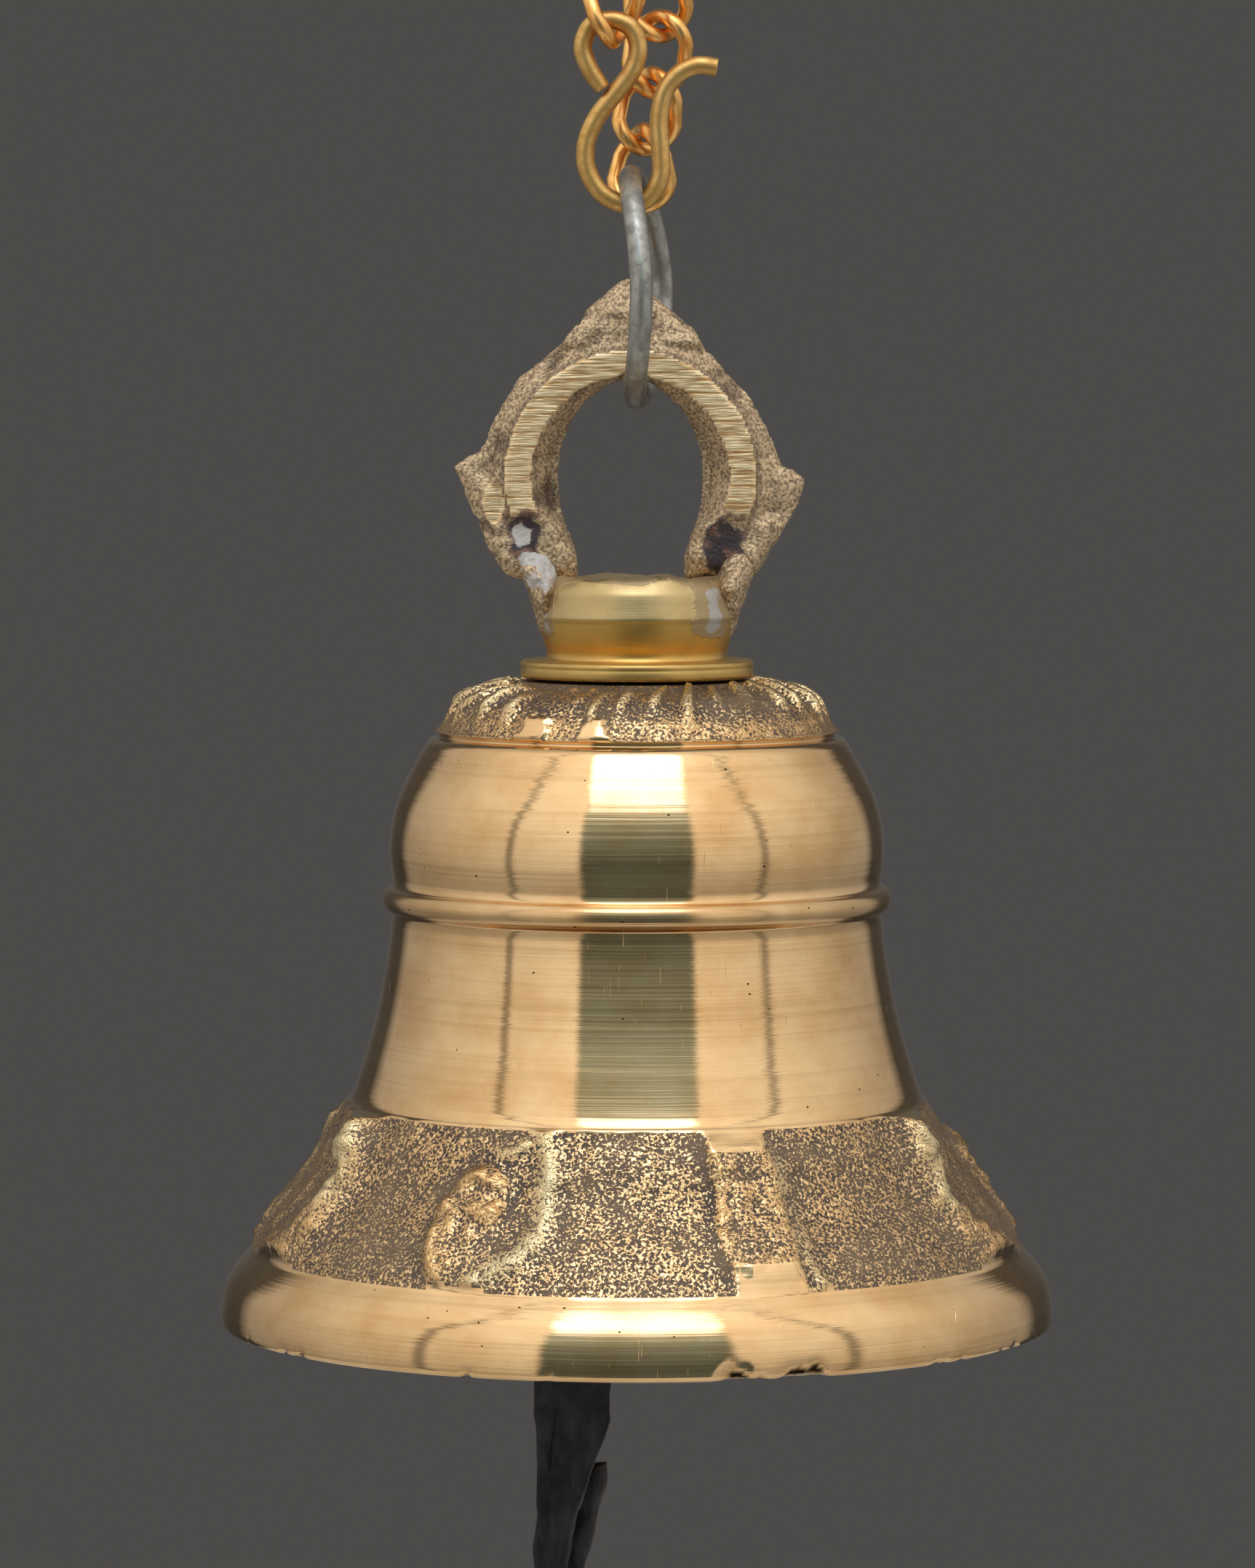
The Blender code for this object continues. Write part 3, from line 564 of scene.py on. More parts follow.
def bandRelief(az, height, plain):
    # worn, generic casting relief: a seed pod with a tendril, a flat panel, and a leaning rib, in turn round the band
    total, vines = np.zeros(plain.shape[:2]), np.zeros(plain.shape[:2])
    wobble, lumpy = lumpNoise(plain, 3, 91), roughNoise(plain, 1.5, 92, 2)
    for motif, middle, flip in (
        ("pod", -27.7, 1), ("panel", 19, 1), ("rib", 62, 1), ("rib", -62, -1), ("pod", 101, 1), ("panel", -98, 1),
        ("rib", 140, 1), ("pod", 178, 1), ("rib", -140, -1), ("knob", 79, 1), ("knob", -79, 1),
    ):
        u = flip * ((az - middle + 180) % 360 - 180) * math.radians(30) + 0.35 * wobble
        h = height + 0.3 * wobble
        if motif == "pod":
            lobe = 1 - ((u + 0.2) / 3.5) ** 2 - ((h - 13.6) / 4.3) ** 2
            shape = 1.35 * ease(lobe, -0.15, 0.9) * (1 + 0.35 * lumpy)
            shape = np.maximum(shape, ridge(u, h, [(-0.6, 12.5), (-0.9, 10), (-1.3, 7.4)],
                                            [3.4, 2.4, 0.9], [1.2, 1, 0.7]))
            shape += ridge(u, h, [(-2.6, 15.5), (-3.1, 13), (-2.9, 10.5), (-2.2, 8.6), (-1.4, 7.2)],
                           [0.5], [0.15, 0.45, 0.4])
            shape -= 0.35 * np.exp(-((u + 0.3) / 1.2) ** 2 - ((h - 11.4) / 1.6) ** 2)
            vine = ridge(u, h, [(5, 20.2), (6.1, 17.6), (6.4, 15), (6.4, 12.8), (5, 10.4), (2.8, 8.6),
                                (1, 7.2)], [1.2, 1.4, 1.2], [0.45, 0.75, 0.65, 0.7, 0.55])
            vine = np.maximum(vine, ridge(u, h, [(3.6, 19.2), (2.2, 18.4), (0.6, 18.3)], [0.8], [0.5, 0.5, 0.3]))
        elif motif == "panel":
            left = -3.3 + 0.35 * np.clip((12 - h) / 3, 0, 3)
            right = np.interp(h, [7, 10, 15, 20], [3.3, 3.4, 3.5, 2.4])
            shape = 0.62 * ease(u - left, -0.3, 0.5) * ease(right - u, -0.5, 0.6)
            shape += 1.1 * ease(u - left, 0, 0.5) * ease(right - 0.5 - u, 0, 0.6) * (
                ease(h, 18.4, 19.3) + ease(9.4 - h, 0, 0.7))
            shape -= 0.45 * np.exp(-((u - left + 0.5) / 0.5) ** 2)
            vine = ridge(u, h, [(2.3, 20.6), (3.4, 17.5), (3.9, 14.5), (4, 11.5), (4.3, 9), (4.7, 7.2)],
                         [0.75], [0.3, 0.5, 0.4, 0.5, 0.5])
        elif motif == "rib":
            shape = ridge(u, h, [(2.6, 20.8), (1, 18.6), (0.3, 16.6), (-0.2, 14.6), (-0.4, 12.4), (0.4, 10.4),
                                 (2.4, 9), (4.6, 8)], [2.1, 2.7, 2.1, 2.9], [1, 1.6, 1.2, 1.5, 1.2])
            shape = np.maximum(shape, 0.3 * ease(u, 0.2, 1.6) * ease(9.5 - u, 0, 3) * ease(h, 8, 10))
            vine = ridge(u, h, [(0.8, 19.6), (0.2, 17.4), (-0.2, 15.2), (-0.3, 12.8)], [1.7], [0.3, 0.8, 0.5, 0.7])
        else:
            shape = 0.45 * ease(1 - (u / 3) ** 2 - ((h - 13.5) / 4.5) ** 2, -0.2, 0.6)
            vine = 0 * u
        total = np.maximum(total, shape) + np.minimum(shape, 0)
        vines = np.maximum(vines, vine)
    return (total + vines * 0.8) * (1 + 0.42 * lumpy), np.clip(vines * 1.2, 0, 1)


def spread(field, rows, columns):
    # the mean over a small patch of the grid, which closes on itself in its columns
    field = sum(np.roll(field, k, 1) for k in range(-columns, columns + 1)) / (2 * columns + 1)
    padded = np.pad(field, ((rows, rows), (0, 0)), mode="edge")
    return sum(padded[k:k + len(field)] for k in range(2 * rows + 1)) / (2 * rows + 1)


def makeBell():
    look = {
        "columns": 580, "seed": 11, "lumpSize": 2.2, "lumpHeight": 0.16, "grainSize": 0.8, "grainHeight": 0.06,
        "shoulderHeight": 0.26, "fluteHeight": 0.85, "flutes": 34, "nicks": 40, "nickDepth": 0.30,
        "bandTop": 20.4, "bandFoot": 7.3, "shoulderEdge": 54.35,
    }
    profile, kind = bellProfile()  # kind is 0 where it is turned, 1 where it is cast, 2 inside
    az = np.linspace(0, 360, look["columns"], endpoint=False)
    az = ((az + 180) % 360 - 180)[None] + np.zeros((len(profile), 1))
    plain = around(profile, look["columns"])
    height = plain[..., 2]
    lumps = roughNoise(plain, look["lumpSize"], look["seed"])
    grain = roughNoise(plain, look["grainSize"], look["seed"] + 5, 2)
    band = ((kind == 1) & (profile[:, 1] < 30))[:, None]
    shoulder = ((kind == 1) & (profile[:, 1] > 30))[:, None]

    relief, vines = bandRelief(az, height, plain)
    push = np.where(band, relief + look["lumpHeight"] * lumps + look["grainHeight"] * grain, 0)

    # the shoulder's skin has runs of metal that lean outwards from its middle, all worn
    radius = np.hypot(plain[..., 0], plain[..., 1])
    bend = az * look["flutes"] / 360 + 0.14 * (radius - 14) + 0.55 * lumpNoise(plain, 7, 31)
    run = ease(np.cos(bend * 2 * math.pi), -0.1, 0.9) * ease(lumpNoise(plain, 4, 57), -0.7, 0.2)
    run = run * ease(radius, 10.9, 12) * ease(18.3 - radius, 0, 2)
    rough = look["shoulderHeight"] * lumps + look["fluteHeight"] * (run - 0.45) + look["grainHeight"] * grain
    push = np.where(shoulder, rough, push)
    vines = np.where(shoulder, np.clip(run * 0.75, 0, 1), vines)

    # the tool took off whatever stood proud of the turned faces, so the skin stops in a ragged line there
    mark = np.minimum(np.abs(profile[:, 1] - look["bandTop"]), np.abs(profile[:, 1] - look["bandFoot"]))
    mark = np.where(profile[:, 1] > 30, np.abs(profile[:, 1] - look["shoulderEdge"]) * 1.6, mark)
    rate = np.where(np.minimum(np.abs(az - 18), np.abs(az + 99)) < 6.5, 0.40, 1.5)
    rate = np.where((profile[:, 1] > 30)[:, None], 0.42, rate)
    limit = 0.04 + rate * mark[:, None] * (1 + 0.4 * lumps)
    flat = np.minimum(np.abs(az + 31.5) - 1.2, np.abs(az + 12.5)) < 3.6 + 2.5 * grain
    flat = flat & shoulder & (height < 56.3 + 0.5 * lumps) & (radius > 15)
    cut = ((push > limit) & (kind == 1)[:, None]) | flat
    push = np.where(flat, 0.1, np.where(cut, limit, push))
    push = np.where(shoulder & (radius < 10.8), 0, push)
    push = np.where((kind == 2)[:, None], 0.08 * lumps, push)

    # small nicks and two larger bites along the lip's edge
    dice = np.random.default_rng(look["seed"])
    spots = [(dice.uniform(-180, 180), dice.uniform(0.4, 1.3), dice.uniform(0.2, 1)) for _ in range(look["nicks"])]
    outer = (np.arange(len(profile)) < np.argmin(profile[:, 1]) + 3)[:, None] & (profile[:, 0] > 36.9)[:, None]
    dull = np.where(np.abs(profile[:, 1] - beadHeight) < 1.15, 0.14, 0)[:, None] + 0 * push
    for at, wide, deep in [*spots, (24, 1.1, 2.3), (21.5, 2.4, 1.7), (13, 1.8, 1.8), (-131, 1.5, 1.8)]:
        tall = 0.35 if deep < 1.2 else 1.1
        gap = np.exp(-(((az - at + 180) % 360 - 180) / wide) ** 2) * np.exp(-np.maximum(height, 0) ** 2 / tall)
        push = push - np.where(outer, look["nickDepth"] * deep * gap * (1 + 0.6 * grain), 0)
        dull = np.maximum(dull, np.where(outer, ease(deep * gap * (1 + 0.8 * grain), 0.5, 1), 0))

    # what stands proud of its surroundings is rubbed bright, and the hollows are darkened as painted shade
    worn = np.clip((push - spread(push, 5, 4)) / 0.34, -1.2, 1) + np.clip(push / 3.5, 0, 0.35) - 0.2 * vines
    worn = np.where(shoulder, worn * 0.5 - 0.25 + 0.6 * run + 0.9 * ease(57.2 - height, 0, 1.8), worn)
    bell = surface("bell", around(profile, look["columns"], push), wrapRows=True,
                   values={"worn": worn, "vine": vines, "dull": dull})
    finish = np.where(kind[:, None] == 2, 2, np.where(cut | (kind != 1)[:, None], 0, 1))
    finish = finish.astype(np.int32)
    settle(bell, "bell", ["bell_body"], "bell_bronze", turnedBronzeMaterial(), castSkinMaterial(), insideMaterial())
    bell.data.polygons.foreach_set("material_index", finish.ravel()[:len(bell.data.polygons)])


def makeCrownBoss():
    # the turned neck with its sharp groove and flange, and the stud below it
    look = {"columns": 160}
    profile = np.vstack([
        [(0.6, 67.8), (3, 67.8), (6, 67.8), (7.6, 67.78), (8, 67.72)],
        through([(8.45, 67.3), (8.72, 66.9), (8.95, 65.8), (9.18, 64.75)], 0.35),
        [(9.2, 64.6), (9.02, 64.35)],
        through([(8.95, 64.1), (8.6, 62.8), (8.22, 61.5)], 0.4),
        [(8.2, 61.25), (8.3, 60.85), (8.5, 60.72)],
        through([(9.2, 60.7), (10.1, 60.7)], 0.4),
        [(10.35, 60.68), (10.52, 60.56), (10.6, 60.38), (10.6, 60.2), (10.54, 60.1), (10.6, 60), (10.62, 59.7),
         (10.6, 59.4), (10.55, 59.2), (10.4, 59.1)],
        [(9, 59.1), (6, 59.1), (2.9, 59.1), (2.9, 57), (2.9, 53.5), (2.9, 50.2), (2.2, 50.2), (1.1, 50.2),
         (1.1, 52), (1.1, 54), (0.4, 54)],
    ])
    plain = around(profile, look["columns"])
    # braze that ran over the neck: most on the right, a little on the left and on the top
    right = np.exp(-((np.degrees(np.arctan2(plain[..., 0], -plain[..., 1])) - 52) / 24) ** 2)
    left = np.exp(-((np.degrees(np.arctan2(plain[..., 0], -plain[..., 1])) + 66) / 13) ** 2)
    patch = np.maximum(right * 0.95, left * 0.9) * ease(plain[..., 2], 61.6, 63.8)
    patch = np.where((profile[:, 1] > 67.6)[:, None], 0.62, patch)
    push = 0.10 * patch * (0.5 + 0.5 * roughNoise(plain, 1.6, 3)) * ease(profile[:, 1], 60.9, 61.5)[:, None]
    crust = ease(profile[:, 1], 67.5, 67.75) * ease(profile[:, 0], 3.2, 5) * ease(8.3 - profile[:, 0], 0, 0.6)
    push = push + crust[:, None] * (0.35 + 0.5 * roughNoise(plain, 2.2, 17))
    boss = surface("crownBoss", around(profile, look["columns"], push), poles=(True, True), values={"patch": patch})
    settle(boss, "bell", ["crown_boss"], "turned_brass", turnedBrassMaterial())


def looseSkin(source, size):
    # a copy of a CAD solid, merged and remeshed into small even faces, as a new mesh
    work = bmesh.new()
    work.from_mesh(source.data)
    bmesh.ops.remove_doubles(work, verts=work.verts, dist=1e-6)
    mesh = bpy.data.meshes.new("work")
    work.to_mesh(mesh)
    work.free()
    holder = stand("work", mesh)
    remesh = holder.modifiers.new("even", "REMESH")
    remesh.mode = "VOXEL"
    remesh.voxel_size = size * mm
    skin = bpy.data.meshes.new_from_object(holder.evaluated_get(bpy.context.evaluated_depsgraph_get()))
    bpy.data.objects.remove(holder)
    return skin


def readVectors(mesh, key):
    # the "co" or "normal" of every vertex
    vectors = np.empty(len(mesh.vertices) * 3, np.float32)
    mesh.vertices.foreach_get(key, vectors)
    return vectors.reshape(-1, 3).astype(float)


def writePoints(mesh, points):
    # puts points, in mm above the lip, back into the mesh
    place = points * mm
    place[:, 2] += lipZ
    mesh.vertices.foreach_set("co", place.astype(np.float32).ravel())
    mesh.update()


def relax(points, edges, rounds):
    # moves each point half way to the middle of its neighbours, several times over
    a, b = edges.T
    count = np.bincount(np.r_[a, b], minlength=len(points))[:, None]
    for _ in range(rounds):
        total = np.stack([
            np.bincount(np.r_[a, b], np.r_[points[b, k], points[a, k]], len(points)) for k in range(3)], 1)
        points = 0.5 * points + 0.5 * total / count
    return points


def makeLoop():
    look = {
        "cell": 0.25, "rounds": 7, "lumpSize": 2.6, "lumpHeight": 0.40, "grainSize": 0.70, "grainHeight": 0.22,
        "filedTo": 2.72, "seed": 23,
    }
    skin = looseSkin(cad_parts["hanging_loop"], look["cell"])
    edges = np.empty(len(skin.edges) * 2, np.int32)
    skin.edges.foreach_get("vertices", edges)
    edges = edges.reshape(-1, 2)
    points = relax(readVectors(skin, "co") / mm - np.array([0, 0, lipZ / mm]), edges, look["rounds"])
    x, y, h = points.T

    # the leaves at the sides thin out towards their tips, and the block and the spike are thinner than the arch
    out = np.maximum(np.abs(x + 0.7) - 11.8, 0) * ease(h, 70, 72) * ease(81.5 - h, 0, 2)
    thin = 1 - 0.34 * ease(out, 0, 3.4) - 0.16 * ease(h, 88.6, 91)
    points[:, 1] = y * thin
    writePoints(skin, points)
    normals = readVectors(skin, "normal")
    arch = np.hypot((x + 0.6), (h - 77.4))
    inside = ease(8.2 - arch, 0, 1.4)
    lumps = roughNoise(points, look["lumpSize"], look["seed"], 2)
    grain = roughNoise(points, look["grainSize"], look["seed"] + 9, 3)
    spike = ease(h, 91.6, 92.8)
    strength = (1 - 0.8 * spike) * (1 - 0.4 * inside)
    shift = (look["lumpHeight"] * lumps + look["grainHeight"] * grain) * strength
    shift -= 0.25 * inside * ease(np.abs(lumps), 0.1, 0.6)
    points = points + normals * shift[:, None]

    # the front slopes back inside and outside the band that the file took flat
    front = -np.percentile(points[(h > 76) & (h < 87), 1], 2)
    depth = look["filedTo"] - 1.3 * np.clip(9.05 - arch, 0, 1.9) - 0.95 * np.clip(arch - 11.35, 0, 1.5)
    depth = depth + (2.25 - depth) * np.maximum(ease(h, 88.6, 89.6), ease(74.2 - h, 0, 1.5))
    depth = depth + 0.3 * lumps * ease(np.abs(arch - 10.2), 1, 1.6)
    points[:, 1] = np.where(points[:, 1] < 0, points[:, 1] * depth / front, points[:, 1])
    band = (np.abs(arch - 10.2) < 1.18 + 0.12 * grain) & (h > 74 + 0.4 * lumps) & (h < 89.4)
    leaf = np.hypot((x + 13) * 1.5, (h - 74.9) * 0.75) < 1.45 + 0.2 * grain
    plane = np.where(leaf, -1.5, -look["filedTo"])
    filed = (band | leaf) & (normals[:, 1] < -0.55) & (points[:, 1] < plane + 0.6)
    points[:, 1] = np.where(filed, plane, points[:, 1])
    filed = filed.astype(float)
    writePoints(skin, points)

    def blot(cx, ch, wide, tall):
        return np.exp(-((x - cx) / wide) ** 2 - ((h - ch) / tall) ** 2) * ease(-y, -1.5, 0.5)

    scorch = np.maximum(0.86 * blot(7.9, 70.8, 2.3, 3.4), 0.76 * blot(-10.2, 72, 2.2, 2.6))
    flux = np.maximum(0.84 * blot(-10.6, 72, 1.5, 1.5), 0.84 * blot(-9.6, 69.6, 1.5, 1.2))
    flux = np.maximum(flux, 0.40 * blot(-13.4, 77.8, 2.2, 1.4))
    # painted shade: darker where the lumps and grain dip, on the arch's inner wall, and on the front slope outside
    # the filed band
    hollowShade = np.clip(ease(-(lumps + 0.8 * grain), 0.1, 0.8) * 0.7 + 0.3 * inside * (1 - filed), 0, 0.75)
    hollowShade = np.maximum(hollowShade, 0.55 * ease(arch - 11.3, 0, 0.2) * ease(12.1 - arch, 0, 0.6) * ease(-y, 0.5, 1.5))
    for key, value in (("filed", filed), ("hollowShade", hollowShade), ("scorch", scorch), ("flux", flux)):
        skin.attributes.new(key, "FLOAT", "POINT").data.foreach_set("value", value.astype(np.float32))
    skin.polygons.foreach_set("use_smooth", np.ones(len(skin.polygons), bool))
    skin.materials.clear()
    settle(stand("hangingLoop", skin), "bell", ["hanging_loop"], "cast_bronze", loopBronzeMaterial())


def makeBraze():
    # two skirts of braze that ran from the loop's feet down the neck; the left one lumpy, with flux in it
    look = {
        "line": [(9.6, 71.4), (9.2, 69.4), (8.6, 67.6), (8.3, 66.2), (8.05, 64.8), (8, 63.4), (7.9, 61.9)],
        "wide": [1.2, 1.8, 1.65, 1.5, 1.25, 0.95, 0.4], "deep": [2, 3, 4.2, 4.4, 4, 3, 1.2],
        "columns": 96, "lumpSize": 1.5, "left": (5, 0.26, 0.56), "right": (8, 0.18, 0.10),
    }
    material = loopBronzeMaterial("brazeRun")
    turn = circle(look["columns"])
    for side, which in ((-1, "left"), (1, "right")):
        seed, lumpHeight, white = look[which]
        path = through([(side * out, 0, h) for out, h in look["line"]], 0.13)
        share = np.linspace(0, 1, len(path))
        shut = np.sqrt(1 - np.abs(2 * share - 1) ** 7)
        wide, deep = spaced(share, look["wide"]) * shut, spaced(share, look["deep"]) * shut
        section = np.stack([wide[:, None] * np.cos(turn), deep[:, None] * np.sin(turn)], -1)
        grid = carry(path, np.array([1, 0, 0]), section)
        lumps, fine = roughNoise(grid, look["lumpSize"], seed), roughNoise(grid, 0.6, seed + 4, 2)
        grid = grid + (grid - path[:, None]) * ((lumpHeight * lumps + 0.07 * fine) * 0.8)[..., None]
        none = np.zeros(lumps.shape)
        # the braze's hollows get painted shade
        values = {"filed": none, "hollowShade": ease(-lumps, 0.1, 0.7) * (0.7 if side < 0 else 0.3),
                  "scorch": none + (0.22 if side < 0 else 0.05), "flux": white * ease(grid[..., 2], 65, 68)}
        piece = surface("brazeRun" + which.title(), grid, poles=(True, True), values=values)
        settle(piece, "bell", ["braze_fillet_" + which], "braze", material)


def makeWire(name, path, outward, thick, body, node, slotName, material, sides=20, closed=False, squash=None):
    # round wire along a path; open ends are cut square with the least of a bevel
    length = np.linalg.norm(np.diff(path, axis=0), axis=1).sum()
    radius = np.full(len(path), thick / 2)
    if not closed:
        step = (path[1] - path[0]) / np.linalg.norm(path[1] - path[0]) * 0.06
        last = (path[-1] - path[-2]) / np.linalg.norm(path[-1] - path[-2]) * 0.06
        path = np.vstack([path[0] - step * 1.01, path[0] - step, path, path[-1] + last, path[-1] + last * 1.01])
        radius = np.r_[radius[0] * 0.55, radius[0] * 0.93, radius, radius[-1] * 0.93, radius[-1] * 0.55]
    section = roundSection(len(path), radius, sides)
    if squash is not None:
        section = section * squash(len(path))
    piece = surface(name, carry(path, outward, section, closed), wrapRows=closed, poles=(not closed, not closed),
                    uvSize=(thick * math.pi, length))
    return settle(piece, body, [node], slotName, material)


def ovalPath(middle, radius, turn, straight, bow, count):
    # an upright ring or oblong, its plane turned from the x axis, its front and back bent to the right by bow
    a = circle(count) + math.pi / count
    reach = radius * np.cos(a) + np.sign(np.cos(a)) * straight / 2
    t = math.radians(turn)
    bent = bow * (np.cos(a) ** 2 - 0.35 * np.maximum(np.sin(a), 0))
    path = np.stack([math.cos(t) * reach + bent, math.sin(t) * reach, middle + radius * np.sin(a)], 1)
    return path, np.array([-math.sin(t), math.cos(t), 0])


def linkPath(bottom, lean, turn, count):
    # an oval twisted about its own length, so that its two ends lie at right angles
    length, half = 6.9, 2.55
    up = np.array([lean[0], lean[1], math.sqrt(length**2 - lean[0] ** 2 - lean[1] ** 2)]) / length
    side = np.array([1, 0, 0]) - up[0] * up
    side = side / np.linalg.norm(side)
    depth = np.cross(up, side)
    a = circle(count) + math.pi / count
    along = half * np.sin(a) + np.sign(np.sin(a)) * (length / 2 - half)
    across = half * np.cos(a)
    angle = math.radians(turn) - math.radians(45) * along / (length / 2)
    out = side * np.cos(angle)[:, None] + depth * np.sin(angle)[:, None]
    path = np.array(bottom) + up * (length / 2 + along)[:, None] + out * across[:, None]
    return path, np.cross(np.broadcast_to(up, out.shape), out)


def makeRing():
    # galvanised steel ring, its dull zinc coat mottled by spangle and wear
    steel = wireMaterial("galvanisedSteelWire", "#B2B0A9", "#8E8B85", 0.40, (0.8, 3), 0.006, 0.2)
    look = {"middle": 94.5, "radius": 10.08, "turn": 84.5, "bow": 1.35, "wire": 2.05}
    path, out = ovalPath(look["middle"], look["radius"], look["turn"], 0, look["bow"], 220)
    makeWire("hangingRing", path, out, look["wire"], "ring", "steel_ring", "galvanised_steel", steel, 28, True)


def makeHook():
    # brass wire bent cold into an S: satin, with a tail cut square and a loop end nipped flat by the cutters
    brass = wireMaterial("bentBrassWire", "#E2B671", "#C99C58", 0.40, (0.5, 4), 0.008, 0.15)
    route = [
        (-3.1, 112.4), (-4.3, 114.2), (-4.9, 116.2), (-4.1, 118.1), (-2.4, 118.6), (-0.6, 117.9),
        (0.1, 116), (-0.5, 113.9), (-2.1, 111.8), (-3.7, 109.7), (-4.6, 107.4), (-4.5, 105.1),
        (-3.2, 103), (-1.1, 102), (0.9, 102.5), (2.1, 104.5), (2.1, 107.2), (2, 109.8),
        (2.6, 112.3), (4, 113.9), (5.6, 114.5), (7.2, 114.3),
    ]
    depth, wire = -2.4, 1.68
    path = through([(x, depth, h) for x, h in route], 0.16)

    def nipped(rows):
        flat = np.exp(-np.arange(rows) / 6)
        return np.stack([1 + 0.12 * flat, 1 - 0.22 * flat], -1)[:, None]

    makeWire("brassHook", path, np.array([0, 1, 0]), wire, "hook", "s_hook", "hook_brass", brass, 24,
             squash=nipped)


def makeChain():
    # curb chain of lacquered brass wire, twisted so that it lies flat: glossy orange gold
    brass = wireMaterial("lacqueredBrassWire", "#FFC87C", "#F3B060", 0.29, (0.8, 3), 0.003, 0.10)
    wire = 1.4
    # for each link: its lower end, how far it leans, how it is turned, and its body
    links = {
        "chain_b1": ((0.35, 2.2, 101.95), (0.25, 0), -25, "hook"),
        "chain_b2": ((0.6, 2.2, 107.1), (0.8, 0), -8, "hook"),
        "chain_b3": ((1.4, 2.2, 112.25), (0.9, 0), 0, "hook"),
        "chain_b4": ((2.2, 2.2, 117.35), (-0.7, 0), -6, "lower_links"),
        "chain_b5": ((1.5, 2.2, 122.35), (0.1, 0), -10, "upper_links"),
        "chain_a1": ((-2.3, -2.4, 116.6), (0.3, 0), 35, "lower_links"),
        "chain_a2": ((-2, -2.2, 121.75), (0.1, 0), 22, "upper_links"),
    }
    for node, (bottom, lean, turn, body) in links.items():
        path, out = linkPath(bottom, lean, turn, 110)
        makeWire("link" + node[-2:].upper(), path, out, wire, body, node, "chain_brass", brass, 18, True)
    path, out = ovalPath(129.55, 2.65, 57, 6, 0, 110)
    makeWire("hangingLink", path, out, wire, "hanging_link", "hanging_link", "chain_brass", brass, 18, True)


def makeClapper():
    aside, wire = -1.6, 1.4  # the rod hangs a little to the left of the bell's middle
    iron = wireMaterial("blackIronWire", "#6A6460", "#4A3A30", 0.42, (0.4, 3), 0.02, 0.2)
    arc = lambda cx, cz, r, start, end, n: [(cx + r * math.cos(a), cz + r * math.sin(a))
                                            for a in np.radians(np.linspace(start, end, n))]
    eye = [(0, 53.4), (0, 51.6), (0, 49.8), (0, 48.9), *arc(aside, 46.6, 2.3, 45, -220, 19)]
    path = through([(x, 0, h) for x, h in eye], 0.3)
    makeWire("clapperEye", path, np.array([0, 1, 0]), wire, "bell", "clapper_eye", "dark_iron", iron)
    rod = [*arc(0, 44.1, 1.9, -15, 255, 17), (0, 41), (0, 38.2), (0, 25), (0, 10)]
    path = through([(aside, y, h) for y, h in rod], 0.3)
    makeWire("clapperRod", path, np.array([1, 0, 0]), wire, "clapper", "clapper_rod", "dark_iron", iron)

    profile = np.vstack([
        [(1, 9.6), (1, 11), (1, 13.3)],
        [(5.5 * math.cos(a), 8 + 5.5 * math.sin(a)) for a in np.radians(np.linspace(78, -75, 40))],
        through([(1.32, 2.4), (1.3, 1.2), (1.35, 0.3)], 0.3),
        through([(1.7, -0.25), (1.92, -0.6), (1.85, -1.1), (1.3, -1.58)], 0.2), [(0.7, -1.62)],
    ])
    plain = around(profile, 96, centreX=aside)
    ball = surface("clapperBall", around(profile, 96, 0.05 * roughNoise(plain, 2, 71), centreX=aside),
                   poles=(True, True), values={"patch": np.zeros(plain.shape[:2])})
    settle(ball, "clapper", ["clapper_ball"], "turned_brass", turnedBrassMaterial())


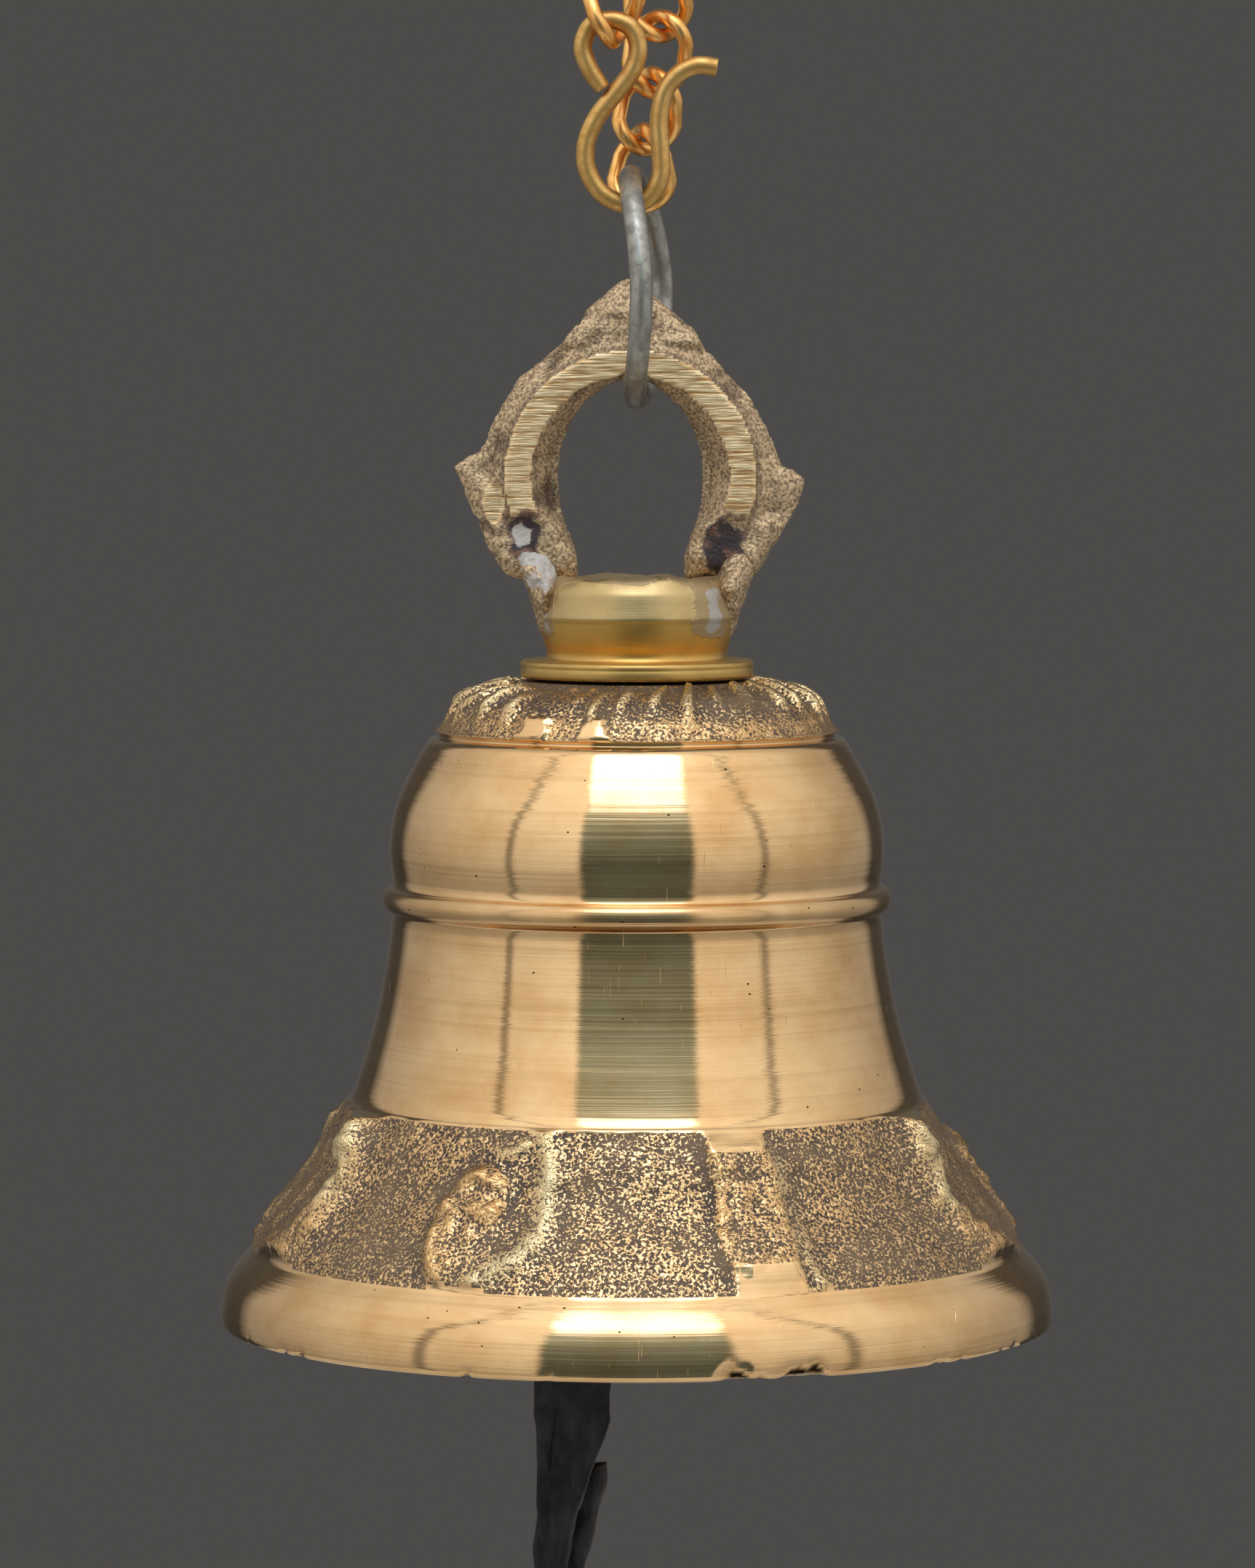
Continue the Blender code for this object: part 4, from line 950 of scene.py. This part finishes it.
def makeStrap():
    # a strip of leather tied to the clapper's tail, creased down its length and folded back up at the bottom
    look = {"width": 6.8, "rows": 260, "sides": 44, "seed": 5}
    route = np.array([
        (-5.2, -3.1, 0.8), (-5.4, -3, -1.4), (-5.8, -2.7, -3.8), (-6, -2.1, -6.6), (-6.1, -1.4, -9.4),
        (-6.1, -0.8, -12.2), (-6.1, -0.4, -15), (-6.3, -0.1, -18), (-6.8, 0, -21.2),
        (-7.1, -0.1, -24.4), (-7, 0, -27.4), (-6.7, 0.5, -29.9), (-6.2, 1.7, -31.2),
        (-6.3, 2.9, -30.2), (-6.8, 3.3, -27.6), (-6.7, 3.3, -24.2), (-6, 3.2, -20.6),
        (-5.2, 3.1, -17.2), (-4.4, 3, -13.8)])
    line = through(route, 0.02)
    path = line[np.linspace(0, len(line) - 1, look["rows"]).astype(int)]
    share = np.linspace(0, 1, look["rows"])
    at = lambda *pairs: np.interp(share, [p[0] for p in pairs], [p[1] for p in pairs])
    width = at((0, 6.2), (0.04, 6.9), (0.18, 6.9), (0.27, 5.6), (0.38, 3.6), (0.60, 3.2), (0.75, 3.4),
               (0.97, 3), (1, 2.6))
    thick = at((0, 1.3), (0.2, 1.45), (0.36, 2.1), (0.60, 2.1), (0.72, 1.7), (1, 1.5))
    shift = at((0, 0.2), (0.1, 0.1), (0.2, 0.1), (0.27, -0.3), (0.36, -0.9), (0.5, -0.8), (0.62, 0), (1, 0.3))
    fold = at((0, 0.25), (0.12, 0.45), (0.30, 0.75), (0.45, 0.5), (0.60, 0.1), (1, 0.35))
    ridgeAt = at((0, -1.5), (0.2, -1), (0.4, -0.4), (1, 0))
    turn = at((0, 8), (0.15, -6), (0.3, 14), (0.45, 22), (0.6, 4), (0.8, -14), (1, -30))
    a = circle(look["sides"])
    across = np.sign(np.cos(a)) * np.abs(np.cos(a)) ** 0.55 * width[:, None] / 2
    thickness = np.sign(np.sin(a)) * np.abs(np.sin(a)) ** 0.75 * thick[:, None] / 2
    thickness = thickness + fold[:, None] * np.abs(across - ridgeAt[:, None])
    thickness = thickness - 0.55 * fold[:, None] * width[:, None] / 2
    spin = np.radians(turn)[:, None]
    turned = np.stack([across * np.cos(spin) - thickness * np.sin(spin) + shift[:, None],
                       across * np.sin(spin) + thickness * np.cos(spin)], -1)
    # slanted top end of the turned-back part
    slant = np.clip((share - 0.93) / 0.07, 0, 1)
    grid = carry(path, np.array([1, 0, 0]), turned)
    grid[..., 2] += slant[:, None] * 0.35 * turned[..., 0]
    waves = lumpNoise(grid, 2.6, look["seed"]) * 0.28 + lumpNoise(grid, 1.1, look["seed"] + 1) * 0.10
    middle = grid.mean(1, keepdims=True)
    away = grid - middle
    away = away / np.linalg.norm(away, axis=-1, keepdims=True)
    grid = grid + away * waves[..., None]
    edge = ease(np.abs(np.cos(a))[None] + 0 * share[:, None], 0.93, 0.99) * 0.8
    edge[-2:] = 0.9
    strap = surface("pullStrap", grid, poles=(True, True), values={"edge": edge})
    settle(strap, "clapper", ["pull_strap"], "strap_leather", leatherMaterial())


def dressFixings():
    # the steel washer and nut inside keep their CAD shape: plain zinc-plated steel, dulled
    material, add, shader, place = newMaterial("platedSteelFixing", Metallic=1)
    cloud = add("TexNoise", {"Vector": (place, 1.5, 1.5, 1.5), "Detail": 4})
    connect(shader, {
        "Base Color": add("Mix", (cloud, "#A3A29C", "#77726A")),
        "Roughness": add("MapRange", (cloud, 0, 1, 0.3, 0.5)),
    })
    for node in ("crown_washer", "crown_nut"):
        for k in range(max(1, len(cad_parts[node].material_slots))):
            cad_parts[node].material_slots[k].material = material


makeCamera()
makeStrap()
makeTent()
makeFloor()
print("camera, strap and stage are in")
makeBell()
makeCrownBoss()
makeLoop()
makeBraze()
makeRing()
makeHook()
makeChain()
makeClapper()
dressFixings()
